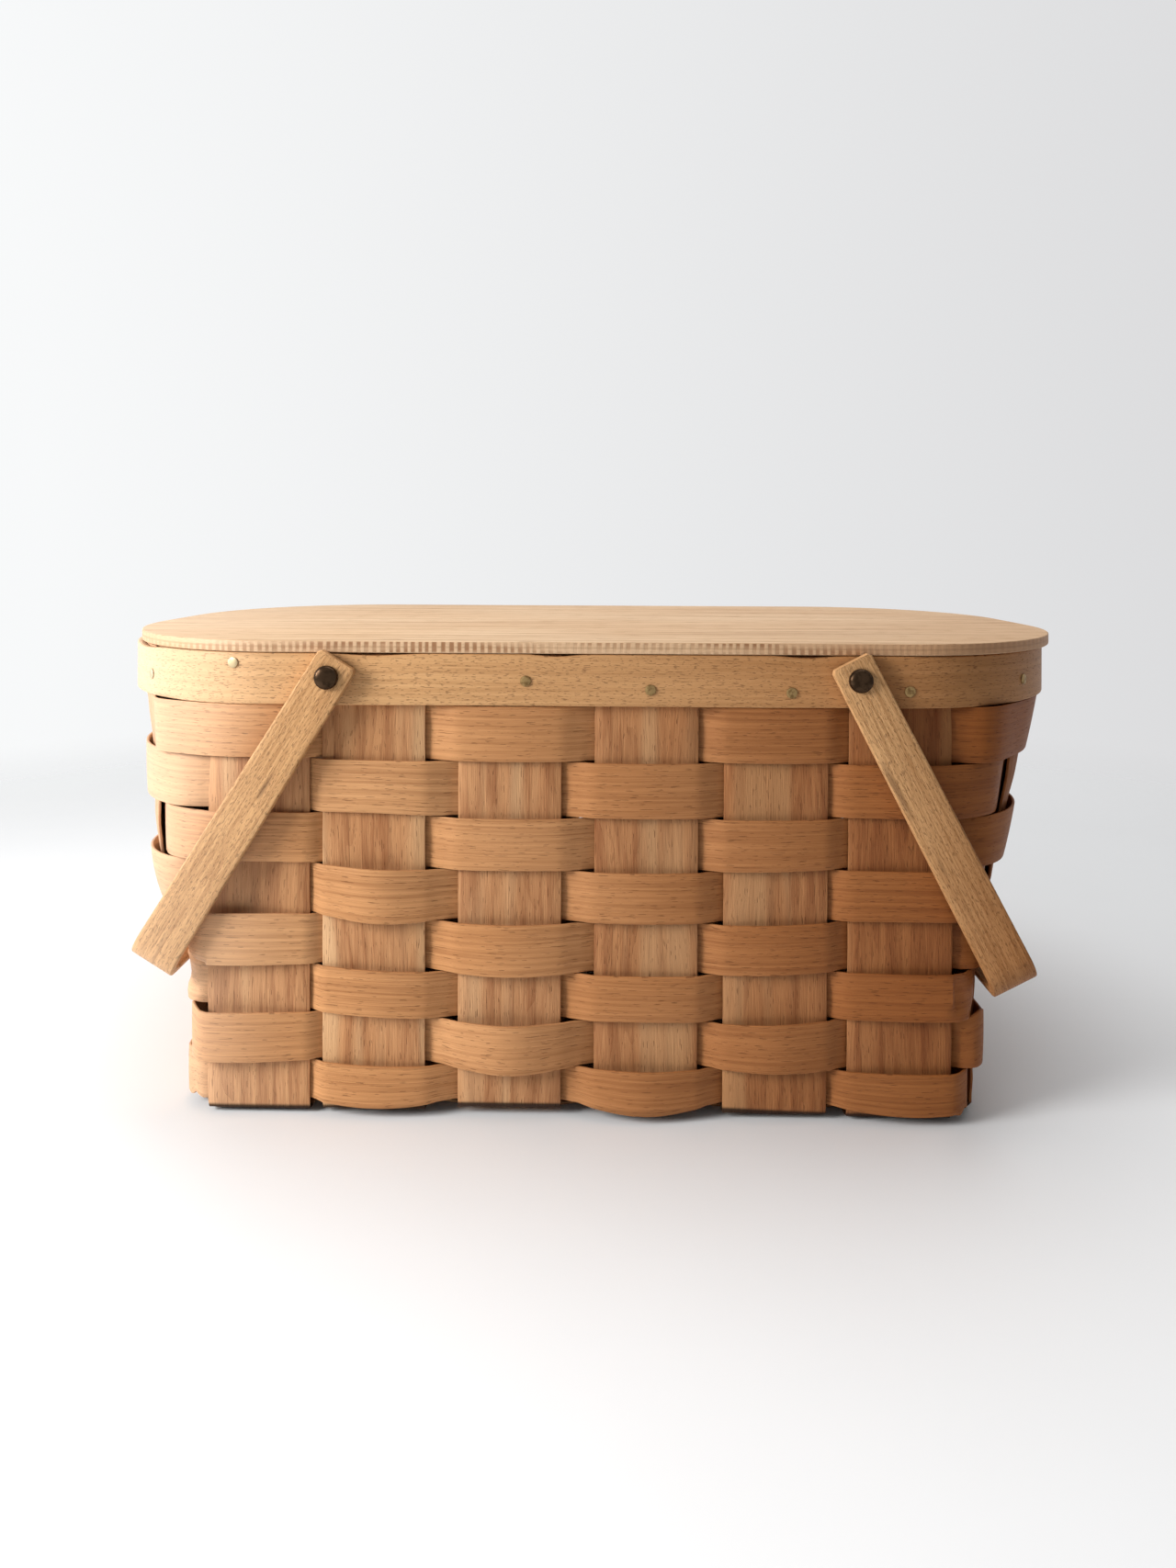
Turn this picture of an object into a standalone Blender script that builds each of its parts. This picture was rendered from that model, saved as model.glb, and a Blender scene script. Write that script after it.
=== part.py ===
"""A lidded picnic basket woven from wide wood splints, with two bentwood swing handles.

The frame has +X along the basket's length, the front at -Y, +Z up, and its origin on the
surface the basket stands on, under the middle of the body. All sizes are in metres.

The body is a plain weave. Splints called stakes cross under the bottom and turn up the walls,
and eight closed hoops of splint, the weavers, pass over and under them in turn. Every wall
piece is drawn from one surface, the middle of the stakes, at offsets that leave a small gap.
"""
from bisect import bisect_right
from functools import lru_cache
from math import cos, degrees, pi, radians, sin, sqrt

import bmesh
import bpy
from mathutils import Matrix, Vector

# Clearances
TOUCH_GAP = 0.0003          # between pieces that lie against each other
TURN_GAP = 0.0009           # between a swinging arm and the lid's edge
REST_GAP = 0.0004           # between a hanging handle and the end wall
MEET_GAP = 0.0010           # between the two handles when both stand over the lid
LAP_EDGE = 0.0004           # thickness left at the thin end of a skived band
LAP_SHOULDER = 0.0010       # run over which a lapped band steps to its full thickness
DRILL_PAST = 0.0020         # how far a drill runs past what it pierces

# Lid
LID_LENGTH = 0.500
LID_DEPTH = 0.320
LID_THICKNESS = 0.0055
LID_END_RUN = 0.101         # how far along X the rounded end takes to turn
LID_END_SPREAD = 0.1337     # how far along Y it takes
LID_OVERHANG = 0.0006       # the lid's edge beyond the outer rim band
LID_SHIFT = 0.0029          # the lid lies a little to the right of the body
LID_EDGE_ROUND = 0.0006
BATTEN_WIDTH = 0.024
BATTEN_HEIGHT = 0.008
BATTEN_INSET = 0.100        # from the lid's end to a batten's middle
BATTEN_PLAY = 0.0030        # between a batten's end and the inner rim band
BATTEN_CHAMFER = 0.0012

# Rim
RIM_HEIGHT = 0.0242
OUTER_BAND_THICKNESS = 0.0040
INNER_BAND_THICKNESS = 0.0030
OUTER_LAP = 0.060
INNER_LAP = 0.050
NAIL_HEAD_RADIUS = 0.0026
NAIL_HEAD_HEIGHT = 0.0006
NAIL_SHANK_RADIUS = 0.0008
FRONT_NAILS = (             # stake, place from its middle, height above the rim's lower edge
    (0, -0.0103, 0.0194),
    (2, 0.0076, 0.0117),
    (3, 0.0015, 0.0079),
    (4, 0.0064, 0.0070),
    (5, 0.0026, 0.0079),
)
NAIL_HEIGHT = 0.0105        # of the nails round the ends
END_NAILS = (               # stake, place from its middle
    (0, -0.0120),
    (1, 0.0075),
    (3, -0.0075),
    (4, 0.0120),
)

# Splints
STAKE_WIDTH = 0.0485
STAKE_THICKNESS = 0.0013
WEAVER_THICKNESS = 0.0013
BOTTOM_ROW_WIDTH = 0.0200   # the weavers grow wider from the lowest row
TOP_ROW_WIDTH = 0.0258      # to the top row
ROWS = 8
ROW_GAP = 0.0005
CROSS_STRAY = (-0.26, -0.73, -0.36, 0.01, 0.06, -0.10)   # shares of the gap between stakes
LONG_STAKES = 5
STAKE_TOP_DROP = 0.0006     # the stake ends lie this far below the rim's top
STAKE_BEND = 0.0060         # radius of a stake's turn from bottom to wall

# Body, measured to the middle of the stakes
END_FLARE = 0.05845         # how far each end leans out from the bottom to the rim
SIDE_FLARE = 0.00295        # and the front and back
BOTTOM_CORNER = 0.012
FLARE_START = 0.082         # below this height the ends stand nearly upright
FLARE_SOFTNESS = 0.015
LEFT_FULLNESS = 0.0092      # how far the left end swells beyond the right one
LEFT_FULL_FROM = 0.058      # where the swelling starts
LEFT_FULL_AT = 0.112        # and where it is greatest
END_DRAW = 0.13             # share by which an end's stakes draw together up to the rim

# Handles
ARM_REACH = 0.1617          # from the pivot to the outer face of the crossbar
ARM_TAIL = 0.0095           # of strip beyond the pivot
HANDLE_THICKNESS = 0.0046
ARM_WIDTH = 0.0198
GRIP_WIDTH = 0.0223
HANDLE_BEND = 0.0130        # radius to the middle of the strip
HANDLE_EDGE_ROUND = 0.0007
PIVOT_STAKES = (            # each handle's stake, and its pivot from that stake's left edge
    ("left", 1, 0.0043),
    ("right", 5, 0.0031),
)
PIVOT_HEIGHT = 0.0135       # above the rim's lower edge
RIVET_RADIUS = 0.0020
RIVET_HEAD_RADIUS = 0.0056
RIVET_HEAD_HEIGHT = 0.0034
WASHER_RADIUS = 0.0062
WASHER_THICKNESS = 0.0009
BURR_RADIUS = 0.0045
BURR_THICKNESS = 0.0008
RIVET_END_HEIGHT = 0.0009
RIVET_END_RADIUS = 0.0030
RIVET_HEAD_DOME = ((1, 0), (0.98, 0.25), (0.78, 0.68), (0.42, 0.93), (0, 1))
RIVET_END_DOME = ((1, 0), (0.7, 0.8), (0, 1))
NAIL_DOME = ((1, 0), (0.72, 0.8), (0, 1))   # shares of a head's radius and height

# How finely round forms are divided
ARC_SAMPLES = 64
CORNER_STEPS = 3
LID_ARC_STEPS = 14
TURN_STEPS = 12
NAIL_STEPS = 8
HOLE_STEPS = 6
BEND_STEPS = 5
STAKE_BEND_STEPS = 4
BISECTIONS = 40
WELD_DISTANCE = 0.000001
SMOOTH_ANGLE = 35

# Offsets from the middle surface of the stakes
WEAVE_OFFSET = STAKE_THICKNESS / 2 + TOUCH_GAP + WEAVER_THICKNESS / 2
WEAVE_OUTER = WEAVE_OFFSET + WEAVER_THICKNESS / 2
OUTER_BAND_INSIDE = STAKE_THICKNESS / 2 + TOUCH_GAP
OUTER_BAND_OUTSIDE = OUTER_BAND_INSIDE + OUTER_BAND_THICKNESS
INNER_BAND_OUTSIDE = -OUTER_BAND_INSIDE
INNER_BAND_INSIDE = INNER_BAND_OUTSIDE - INNER_BAND_THICKNESS

# The bottom's two layers of splint
FLOOR_SWING = (STAKE_THICKNESS + TOUCH_GAP) / 2
FLOOR_MIDDLE = FLOOR_SWING + STAKE_THICKNESS / 2
WALL_FOOT = FLOOR_MIDDLE + STAKE_BEND

# Plan of the middle surface at the rim and at the bottom: half length, half depth, corner run
# along X and corner spread along Y
LID_INSET = LID_OVERHANG + OUTER_BAND_OUTSIDE
TOP_PLAN = (
    LID_LENGTH / 2 - LID_INSET,
    LID_DEPTH / 2 - LID_INSET,
    LID_END_RUN - LID_INSET,
    LID_END_SPREAD - LID_INSET,
)
BOTTOM_PLAN = (
    TOP_PLAN[0] - END_FLARE,
    TOP_PLAN[1] - SIDE_FLARE,
    BOTTOM_CORNER,
    BOTTOM_CORNER,
)


def row_levels():
    """Heights of the joints between the rows, from the foot of the wall to the rim."""
    levels = [WALL_FOOT]
    for row in range(ROWS):
        width = BOTTOM_ROW_WIDTH + (TOP_ROW_WIDTH - BOTTOM_ROW_WIDTH) * row / (ROWS - 1)
        levels.append(levels[-1] + width + ROW_GAP)
    return levels


LEVELS = row_levels()
RIM_BOTTOM = LEVELS[-1]
RIM_TOP = RIM_BOTTOM + RIM_HEIGHT
LID_BOTTOM = RIM_TOP + TOUCH_GAP
LID_TOP = LID_BOTTOM + LID_THICKNESS
PIVOT_Z = RIM_BOTTOM + PIVOT_HEIGHT
ARM_INSIDE = LID_DEPTH / 2 + TURN_GAP
ARM_MIDDLE = ARM_INSIDE + HANDLE_THICKNESS / 2



def stake_places(half_side, strays):
    """Middles of the stakes of one side, spread evenly between its corners, then strayed."""
    outermost = half_side - BOTTOM_CORNER - STAKE_WIDTH / 2
    last = len(strays) - 1
    gap = 2 * outermost / last - STAKE_WIDTH
    return [outermost * (2 * index / last - 1) + gap * stray
            for index, stray in enumerate(strays)]


CROSS_PLACES = stake_places(BOTTOM_PLAN[0], CROSS_STRAY)
LONG_PLACES = stake_places(BOTTOM_PLAN[1], [0.0] * LONG_STAKES)
PIVOTS = {
    hand: CROSS_PLACES[stake] - STAKE_WIDTH / 2 + inset for hand, stake, inset in PIVOT_STAKES
}

WOOD_WEAVER = ("weaver_splint", (0.52, 0.31, 0.15), 0.55, 0.0)
WOOD_STAKE = ("stake_splint", (0.50, 0.28, 0.16), 0.6, 0.0)
WOOD_BAND = ("rim_band_wood", (0.60, 0.40, 0.21), 0.5, 0.0)
WOOD_HANDLE = ("handle_wood", (0.50, 0.31, 0.16), 0.5, 0.0)
WOOD_LID = ("lid_plywood", (0.62, 0.43, 0.25), 0.5, 0.0)
BRASS = ("nail_brass", (0.36, 0.28, 0.13), 0.4, 1.0)
DARK_METAL = ("rivet_bronze", (0.10, 0.08, 0.06), 0.35, 1.0)


def clear_scene():
    for item in list(bpy.data.objects):
        bpy.data.objects.remove(item, do_unlink=True)


def wood_or_metal(finish):
    """The Principled material for one finish, made once."""
    name, colour, roughness, metallic = finish
    material = bpy.data.materials.get(name)
    if material is None:
        material = bpy.data.materials.new(name)
        material.use_nodes = True
        shader = material.node_tree.nodes["Principled BSDF"]
        shader.inputs["Base Color"].default_value = (*colour, 1.0)
        shader.inputs["Roughness"].default_value = roughness
        shader.inputs["Metallic"].default_value = metallic
    return material


def add_object(name, bm, finish, smooth=False):
    """Turn a bmesh into a named object with outward faces and its material."""
    bmesh.ops.recalc_face_normals(bm, faces=bm.faces)
    mesh = bpy.data.meshes.new(name)
    bm.to_mesh(mesh)
    bm.free()
    if smooth:
        mesh.shade_smooth()
        mesh.set_sharp_from_angle(angle=radians(SMOOTH_ANGLE))
    item = bpy.data.objects.new(name, mesh)
    bpy.context.scene.collection.objects.link(item)
    item.data.materials.append(wood_or_metal(finish))
    return item


def add_cutter(name, bm, targets):
    """A guide solid that is cut out of each target."""
    cutter = add_object(name, bm, DARK_METAL)
    cutter.hide_render = True
    cutter.display_type = "WIRE"
    for target in targets:
        cut = target.modifiers.new(name, "BOOLEAN")
        cut.operation = "DIFFERENCE"
        cut.solver = "EXACT"
        cut.object = cutter


# The wall surface

def flare(height):
    """0 at the bottom and 1 at the rim, nearly flat up to FLARE_START."""
    def ramp(z):
        rise = z - FLARE_START
        return (rise + sqrt(rise * rise + FLARE_SOFTNESS ** 2)) / 2
    inside = min(height, RIM_BOTTOM)
    return (ramp(inside) - ramp(0)) / (ramp(RIM_BOTTOM) - ramp(0))


def left_swell(height):
    """How far the left end stands out beyond the right one at a height."""
    if not LEFT_FULL_FROM < height < RIM_BOTTOM:
        return 0.0
    edge = LEFT_FULL_FROM if height < LEFT_FULL_AT else RIM_BOTTOM
    return LEFT_FULLNESS * sin(pi / 2 * (height - edge) / (LEFT_FULL_AT - edge)) ** 2


def wall_plan(height, left=False):
    """Half length, half depth, corner run and corner spread of the wall at a height."""
    share = flare(height)
    rise = min(height, RIM_BOTTOM) / RIM_BOTTOM
    length, depth, run, spread = (
        low + (high - low) * part
        for low, high, part in zip(BOTTOM_PLAN, TOP_PLAN, (share, rise, share, share))
    )
    if left:
        length += left_swell(height)
    return length, depth, run, spread


@lru_cache(maxsize=None)
def quarter_line(height, left):
    """A quarter of the wall's plan, drawn at the front right: distance, point, outward normal.

    It runs from the middle of the front, round the corner, to the middle of the end.
    """
    length, depth, run, spread = wall_plan(height, left)
    marks = [(Vector((0, -depth)), Vector((0, -1)))]
    for step in range(ARC_SAMPLES + 1):
        angle = pi / 2 * (1 - step / ARC_SAMPLES)
        point = Vector((length - run + run * cos(angle), spread - depth - spread * sin(angle)))
        normal = Vector((cos(angle) / run, -sin(angle) / spread)).normalized()
        marks.append((point, normal))
    marks.append((Vector((length, 0)), Vector((1, 0))))
    line = [(0.0, *marks[0])]
    for (here, _), (there, normal) in zip(marks, marks[1:]):
        line.append((line[-1][0] + (there - here).length, there, normal))
    return line


def quarter_at(height, distance, left):
    """Point and outward normal at a distance along the quarter."""
    line = quarter_line(height, left)
    index = min(max(bisect_right(line, distance, key=lambda mark: mark[0]), 1), len(line) - 1)
    (d0, p0, n0), (d1, p1, n1) = line[index - 1], line[index]
    part = (distance - d0) / (d1 - d0)
    return p0.lerp(p1, part), n0.lerp(n1, part).normalized()


class Station:
    """One place round the basket, at the same stake edge or corner share at every height."""

    def __init__(self, side, along, middle=None, stake=None, part=None):
        self.side = side        # 0 front, 1 right end, 2 back, 3 left end
        self.along = along      # distance from the side's middle, or the corner's two edges
        self.middle = middle    # place of the middle of the stake that it lies on
        self.stake = stake      # number of the stake round the basket, if it lies on one
        self.part = part        # share of the way round the corner that follows the side

    def at(self, height):
        draw = END_DRAW * flare(height)
        if self.part is None:
            x_sign, y_sign = self.signs_on_side()
        else:
            x_sign, y_sign = ((1, 1), (1, -1), (-1, -1), (-1, 1))[self.side]
        left = x_sign < 0
        girth = quarter_line(height, left)[-1][0]
        if self.part is not None:
            part = self.part if self.side in (0, 2) else 1 - self.part
            front_edge, end_edge = self.along
            end_edge -= LONG_PLACES[-1] * draw
            distance = front_edge + (girth - end_edge - front_edge) * part
        elif self.side in (1, 3):
            distance = girth - abs(self.along - self.middle * draw)
        else:
            distance = abs(self.along)
        point, normal = quarter_at(height, distance, left)
        return (
            Vector((point.x * x_sign, point.y * y_sign)),
            Vector((normal.x * x_sign, normal.y * y_sign)),
        )

    def signs_on_side(self):
        """How the quarter is mirrored to reach this place."""
        ahead = 1 if self.along >= 0 else -1
        return ((ahead, 1), (1, -ahead), (ahead, -1), (-1, -ahead))[self.side]

    def offset(self, height, distance):
        point, normal = self.at(height)
        return Vector((*(point + normal * distance), height))


def is_flat(side, place):
    """True where a stake lies on the straight part of its side all the way up."""
    length, depth, run, spread = TOP_PLAN
    straight = length - run if side in (0, 2) else depth - spread
    return abs(place) + STAKE_WIDTH / 2 < straight


def stake_edges(side, place):
    """Places across a stake: its two edges, and its middle where the wall is curved."""
    half = STAKE_WIDTH / 2
    if is_flat(side, place):
        return [place - half, place + half]
    return [place - half, place, place + half]


def girth_stations():
    """Stations once round the basket, counter-clockwise from the front's left end."""
    sides = (
        (0, CROSS_PLACES, 1),
        (1, LONG_PLACES, 1),
        (2, CROSS_PLACES[::-1], -1),
        (3, LONG_PLACES[::-1], -1),
    )
    long_edge = LONG_PLACES[-1] + STAKE_WIDTH / 2
    left_edge = abs(CROSS_PLACES[0]) + STAKE_WIDTH / 2
    right_edge = CROSS_PLACES[-1] + STAKE_WIDTH / 2
    stations = []
    number = 0
    for side, places, direction in sides:
        for place in places:
            for along in stake_edges(side, place)[::direction]:
                stations.append(Station(side, along, place, stake=number))
            number += 1
        cross_edge = right_edge if side in (0, 1) else left_edge
        for step in range(1, CORNER_STEPS + 1):
            part = step / (CORNER_STEPS + 1)
            stations.append(Station(side, (cross_edge, long_edge), part=part))
    return stations


STATIONS = girth_stations()


# Splints as lofts of their cross-sections

def first_ring(bm, points):
    verts = [bm.verts.new(point) for point in points]
    return [bm.edges.new((verts[i - 1], verts[i])) for i in range(len(verts))], verts


def next_ring(bm, edges, verts, points):
    """Extrude a ring of edges and move each new corner to its place."""
    made = bmesh.ops.extrude_edge_only(bm, edges=edges)["geom"]
    new_verts = {item for item in made if isinstance(item, bmesh.types.BMVert)}
    new_edges = [item for item in made if isinstance(item, bmesh.types.BMEdge)]
    partners = []
    for vert in verts:
        partner = next(edge.other_vert(vert) for edge in vert.link_edges
                       if edge.other_vert(vert) in new_verts)
        partners.append(partner)
    for partner, point in zip(partners, points):
        partner.co = point
    rim = [edge for edge in new_edges if edge.verts[0] in new_verts and edge.verts[1] in new_verts]
    return rim, partners


def loft(sections, closed=False, lean=None):
    """A closed solid through a list of cross-sections with equal numbers of corners.

    Where lean is given, each four-sided facet is split along one diagonal, so that splints
    that cross on a twisted part of the wall are folded alike and keep their gap.
    """
    bm = bmesh.new()
    start_edges, start_verts = first_ring(bm, sections[0])
    edges, verts = start_edges, start_verts
    for points in sections[1:]:
        before = verts
        edges, verts = next_ring(bm, edges, verts, points)
        if lean is not None:
            fold(bm, before, verts, lean)
    if closed:
        bmesh.ops.bridge_loops(bm, edges=start_edges + edges)
    else:
        bm.faces.new(start_verts)
        bm.faces.new(verts)
    return bm


def fold(bm, before, after, lean):
    """Split the facets between two slab rings, inner ones one way and outer ones the other."""
    half = len(before) // 2
    for corner in [*range(1, half), *range(half + 1, 2 * half)]:
        forward = lean == (corner < half)
        pair = (before[corner - 1], after[corner]) if forward else (before[corner],
                                                                    after[corner - 1])
        bmesh.ops.connect_verts(bm, verts=pair)


def slab(inner, outer):
    """A ring of corners from matching inner and outer rows of points."""
    return list(inner) + list(reversed(outer))


# Weavers

def weaver_offsets(row):
    """Offset of a hoop at each station: outside the stakes of its own parity."""
    offsets = []
    for station in STATIONS:
        if station.stake is None:
            offsets.append(None)
        else:
            outside = (station.stake + row) % 2 == 0
            offsets.append(WEAVE_OFFSET if outside else -WEAVE_OFFSET)
    count = len(offsets)
    filled = []
    for index, value in enumerate(offsets):
        if value is None:
            part = STATIONS[index].part
            before = index
            while offsets[before] is None:
                before -= 1
            after = index
            while offsets[after % count] is None:
                after += 1
            value = offsets[before] * (1 - part) + offsets[after % count] * part
        filled.append(value)
    return filled


def make_weavers():
    half = WEAVER_THICKNESS / 2
    for number in range(1, ROWS + 1):
        top = LEVELS[ROWS + 1 - number] - ROW_GAP / 2
        bottom = LEVELS[ROWS - number] + ROW_GAP / 2
        sections = []
        for station, offset in zip(STATIONS, weaver_offsets(number - 1)):
            inner = [station.offset(z, offset - half) for z in (bottom, top)]
            outer = [station.offset(z, offset + half) for z in (bottom, top)]
            sections.append(slab(inner, outer))
        add_object(f"weaver_row_{number}", loft(sections, closed=True, lean=True), WOOD_WEAVER)


# Stakes

def stake_path(side, far_side, place, crossings, over_first):
    """Cross-sections of one stake, up one wall, under the bottom and up the other."""
    half = STAKE_THICKNESS / 2
    edges = stake_edges(side, place)
    heights = [RIM_TOP - STAKE_TOP_DROP] + LEVELS[::-1]

    def wall(which, heights_in_order):
        rows = []
        for height in heights_in_order:
            stations = [Station(which, along, place) for along in edges]
            rows.append(slab([s.offset(height, -half) for s in stations],
                             [s.offset(height, half) for s in stations]))
        return rows

    def turn(which, order):
        rows = []
        for step in order:
            angle = pi / 2 * step / STAKE_BEND_STEPS
            rows.append(slab(*(
                [bend_point(Station(which, along, place), angle, distance) for along in edges]
                for distance in (-half, half)
            )))
        return rows

    def bend_point(station, angle, distance):
        """A point of the quarter turn from the wall's foot, at 0, to the floor, at 90 degrees."""
        foot = station.offset(WALL_FOOT, 0)
        inward = Vector((-1, 0, 0)) if station.side == 1 else Vector((1, 0, 0))
        if station.side in (0, 2):
            inward = Vector((0, 1, 0)) if station.side == 0 else Vector((0, -1, 0))
        centre = foot + inward * STAKE_BEND
        radius = STAKE_BEND + distance
        return centre - inward * radius * cos(angle) - Vector((0, 0, radius * sin(angle)))

    def floor():
        rows = []
        over = over_first
        for crossing in crossings:
            height = FLOOR_MIDDLE + (FLOOR_SWING if over else -FLOOR_SWING)
            for shift in (-STAKE_WIDTH / 2, STAKE_WIDTH / 2):
                rows.append([
                    floor_corner(along, crossing + shift, height + level)
                    for along, level in floor_ring(half)
                ])
            over = not over
        return rows

    def floor_ring(level):
        return [(a, level) for a in edges] + [(a, -level) for a in reversed(edges)]

    def floor_corner(along, distance, height):
        if side == 0:
            return Vector((along, distance, height))
        return Vector((distance, along, height))

    near = range(STAKE_BEND_STEPS)[1:]
    return (
        wall(side, heights)
        + turn(side, list(near) + [STAKE_BEND_STEPS])
        + floor()
        + turn(far_side, [STAKE_BEND_STEPS] + list(reversed(near)))
        + wall(far_side, heights[::-1])
    )


def make_stakes():
    for index, place in enumerate(CROSS_PLACES):
        sections = stake_path(0, 2, place, LONG_PLACES, over_first=index % 2 == 0)
        add_object(f"cross_stake_{index + 1}", loft(sections, lean=False), WOOD_STAKE)
    for index, place in enumerate(LONG_PLACES):
        sections = stake_path(3, 1, place, CROSS_PLACES, over_first=index % 2 == 1)
        add_object(f"long_stake_{index + 1}", loft(sections, lean=True), WOOD_STAKE)


# Rim bands

class RimPath:
    """Arc length round the rim, read from the stations as one closed line."""

    def __init__(self, start_index):
        count = len(STATIONS)
        order = [STATIONS[(start_index + i) % count] for i in range(count)]
        self.frames = [station.at(RIM_TOP) for station in order]
        self.frames.append(self.frames[0])
        self.lengths = [0.0]
        for (here, _), (there, _) in zip(self.frames, self.frames[1:]):
            self.lengths.append(self.lengths[-1] + (there - here).length)
        self.girth = self.lengths[-1]

    def at(self, distance):
        """Point and normal at a distance from the start, going on past a full turn."""
        inside = distance % self.girth
        index = min(bisect_right(self.lengths, inside), len(self.lengths) - 1) - 1
        span = self.lengths[index + 1] - self.lengths[index]
        part = (inside - self.lengths[index]) / span
        (p0, n0), (p1, n1) = self.frames[index], self.frames[index + 1]
        return p0.lerp(p1, part), n0.lerp(n1, part)


def make_band(name, inside, outside, lap, start_index):
    """A band bent once round the rim, its skived ends lapped and its middle full thick."""
    path = RimPath(start_index)
    lap_depth = outside - inside - 2 * LAP_EDGE - TOUCH_GAP

    def section(distance, low, high):
        point, normal = path.at(distance)
        inner = [Vector((*(point + normal * low), z)) for z in (RIM_BOTTOM, RIM_TOP)]
        outer = [Vector((*(point + normal * high), z)) for z in (RIM_BOTTOM, RIM_TOP)]
        return slab(inner, outer)

    def under_surface(share):
        return inside + LAP_EDGE + lap_depth * share

    joints = [d for d in path.lengths[:-1] if d > 0]
    sections = [section(0, inside, under_surface(0))]
    for distance in [d for d in joints if d < lap]:
        sections.append(section(distance, inside, under_surface(distance / lap)))
    sections.append(section(lap, inside, under_surface(1)))
    sections.append(section(lap + LAP_SHOULDER, inside, outside))
    full = [d for d in joints if lap + LAP_SHOULDER < d < path.girth - LAP_SHOULDER]
    for distance in full:
        sections.append(section(distance, inside, outside))
    sections.append(section(path.girth - LAP_SHOULDER, inside, outside))
    sections.append(section(path.girth, under_surface(0) + TOUCH_GAP, outside))
    for distance in [d for d in joints if d < lap]:
        low = under_surface(distance / lap) + TOUCH_GAP
        sections.append(section(path.girth + distance, low, outside))
    sections.append(section(path.girth + lap, under_surface(1) + TOUCH_GAP, outside))
    return add_object(name, loft(sections), WOOD_BAND)


def stake_start(side, place):
    """Index of the first station of the stake at a place along a side."""
    return next(index for index, station in enumerate(STATIONS)
                if station.side == side and station.stake is not None
                and abs(station.along - place) < STAKE_WIDTH)


# Turned metal pieces

def turned(profile, steps, axis_frame=None):
    """Spin a profile of (radius, distance) about +Z; its ends lie on the axis."""
    bm = bmesh.new()
    verts = [bm.verts.new((radius, 0, along)) for radius, along in profile]
    edges = [bm.edges.new(pair) for pair in zip(verts, verts[1:])]
    bmesh.ops.spin(bm, geom=verts + edges, cent=(0, 0, 0), axis=(0, 0, 1),
                   angle=2 * pi, steps=steps, use_merge=True)
    bmesh.ops.remove_doubles(bm, verts=bm.verts, dist=WELD_DISTANCE)
    if axis_frame is not None:
        bmesh.ops.transform(bm, matrix=axis_frame, verts=bm.verts)
    return bm


def dome(shares, radius, seat, height):
    """Profile of a rounded head from its seat, given shares of its radius and height."""
    return [(radius * across, seat + height * up) for across, up in shares]


def turned_ring(inner, outer, low, high, axis_frame):
    """A flat washer between two radii."""
    bm = bmesh.new()
    corners = [(inner, low), (outer, low), (outer, high), (inner, high)]
    verts = [bm.verts.new((radius, 0, along)) for radius, along in corners]
    edges = [bm.edges.new((verts[i - 1], verts[i])) for i in range(4)]
    bmesh.ops.spin(bm, geom=verts + edges, cent=(0, 0, 0), axis=(0, 0, 1),
                   angle=2 * pi, steps=TURN_STEPS, use_merge=True)
    bmesh.ops.remove_doubles(bm, verts=bm.verts, dist=WELD_DISTANCE)
    bmesh.ops.transform(bm, matrix=axis_frame, verts=bm.verts)
    return bm


def gather(parts):
    """One bmesh that holds several separate solids."""
    whole = bmesh.new()
    for bm in parts:
        mesh = bpy.data.meshes.new("part")
        bm.to_mesh(mesh)
        bm.free()
        whole.from_mesh(mesh)
        bpy.data.meshes.remove(mesh)
    return whole


def facing(place, outward):
    """A frame at a place whose +Z points outward and whose sides lie level."""
    up = Vector((0, 0, 1))
    side = up.cross(outward).normalized()
    rotation = Matrix((side, up, outward)).transposed().to_4x4()
    return Matrix.Translation(place) @ rotation


def hole_radius(shank):
    """A hole whose flats clear the corners of a shank with as many sides."""
    return (shank + TOUCH_GAP) / cos(pi / TURN_STEPS)


def nail_frames():
    """Frames on the outer band's face for every rim nail, by name."""
    end_nails = [(LONG_PLACES[stake] + stray, NAIL_HEIGHT) for stake, stray in END_NAILS]
    spots = {
        "front": (0, [(CROSS_PLACES[stake] + stray, rise) for stake, stray, rise in FRONT_NAILS]),
        "right": (1, end_nails),
        "back": (2, [(x, NAIL_HEIGHT) for x in CROSS_PLACES]),
        "left": (3, end_nails),
    }
    frames = {}
    for word, (side, nails) in spots.items():
        for number, (place, rise) in enumerate(nails, start=1):
            point, outward = rim_face(side, place)
            spot = Vector((*point, RIM_BOTTOM + rise))
            frames[f"rim_nail_{word}_{number}"] = facing(spot, outward)
    return frames


def rim_face(side, place):
    """Point and outward normal on the outer band's faceted face, at an X or Y of one side."""
    axis = 0 if side in (0, 2) else 1
    facing_sign = (-1, 1, 1, -1)[side]
    ring = []
    for station in STATIONS:
        point, normal = station.at(RIM_TOP)
        ring.append(point + normal * OUTER_BAND_OUTSIDE)
    for start, end in zip(ring, ring[1:] + ring[:1]):
        low, high = sorted((start[axis], end[axis]))
        if low <= place < high and start[1 - axis] * facing_sign > 0:
            point = start.lerp(end, (place - start[axis]) / (end[axis] - start[axis]))
            run = end - start
            return point, Vector((run.y, -run.x, 0)).normalized()
    raise ValueError(f"no rim face at {place} on side {side}")


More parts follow.
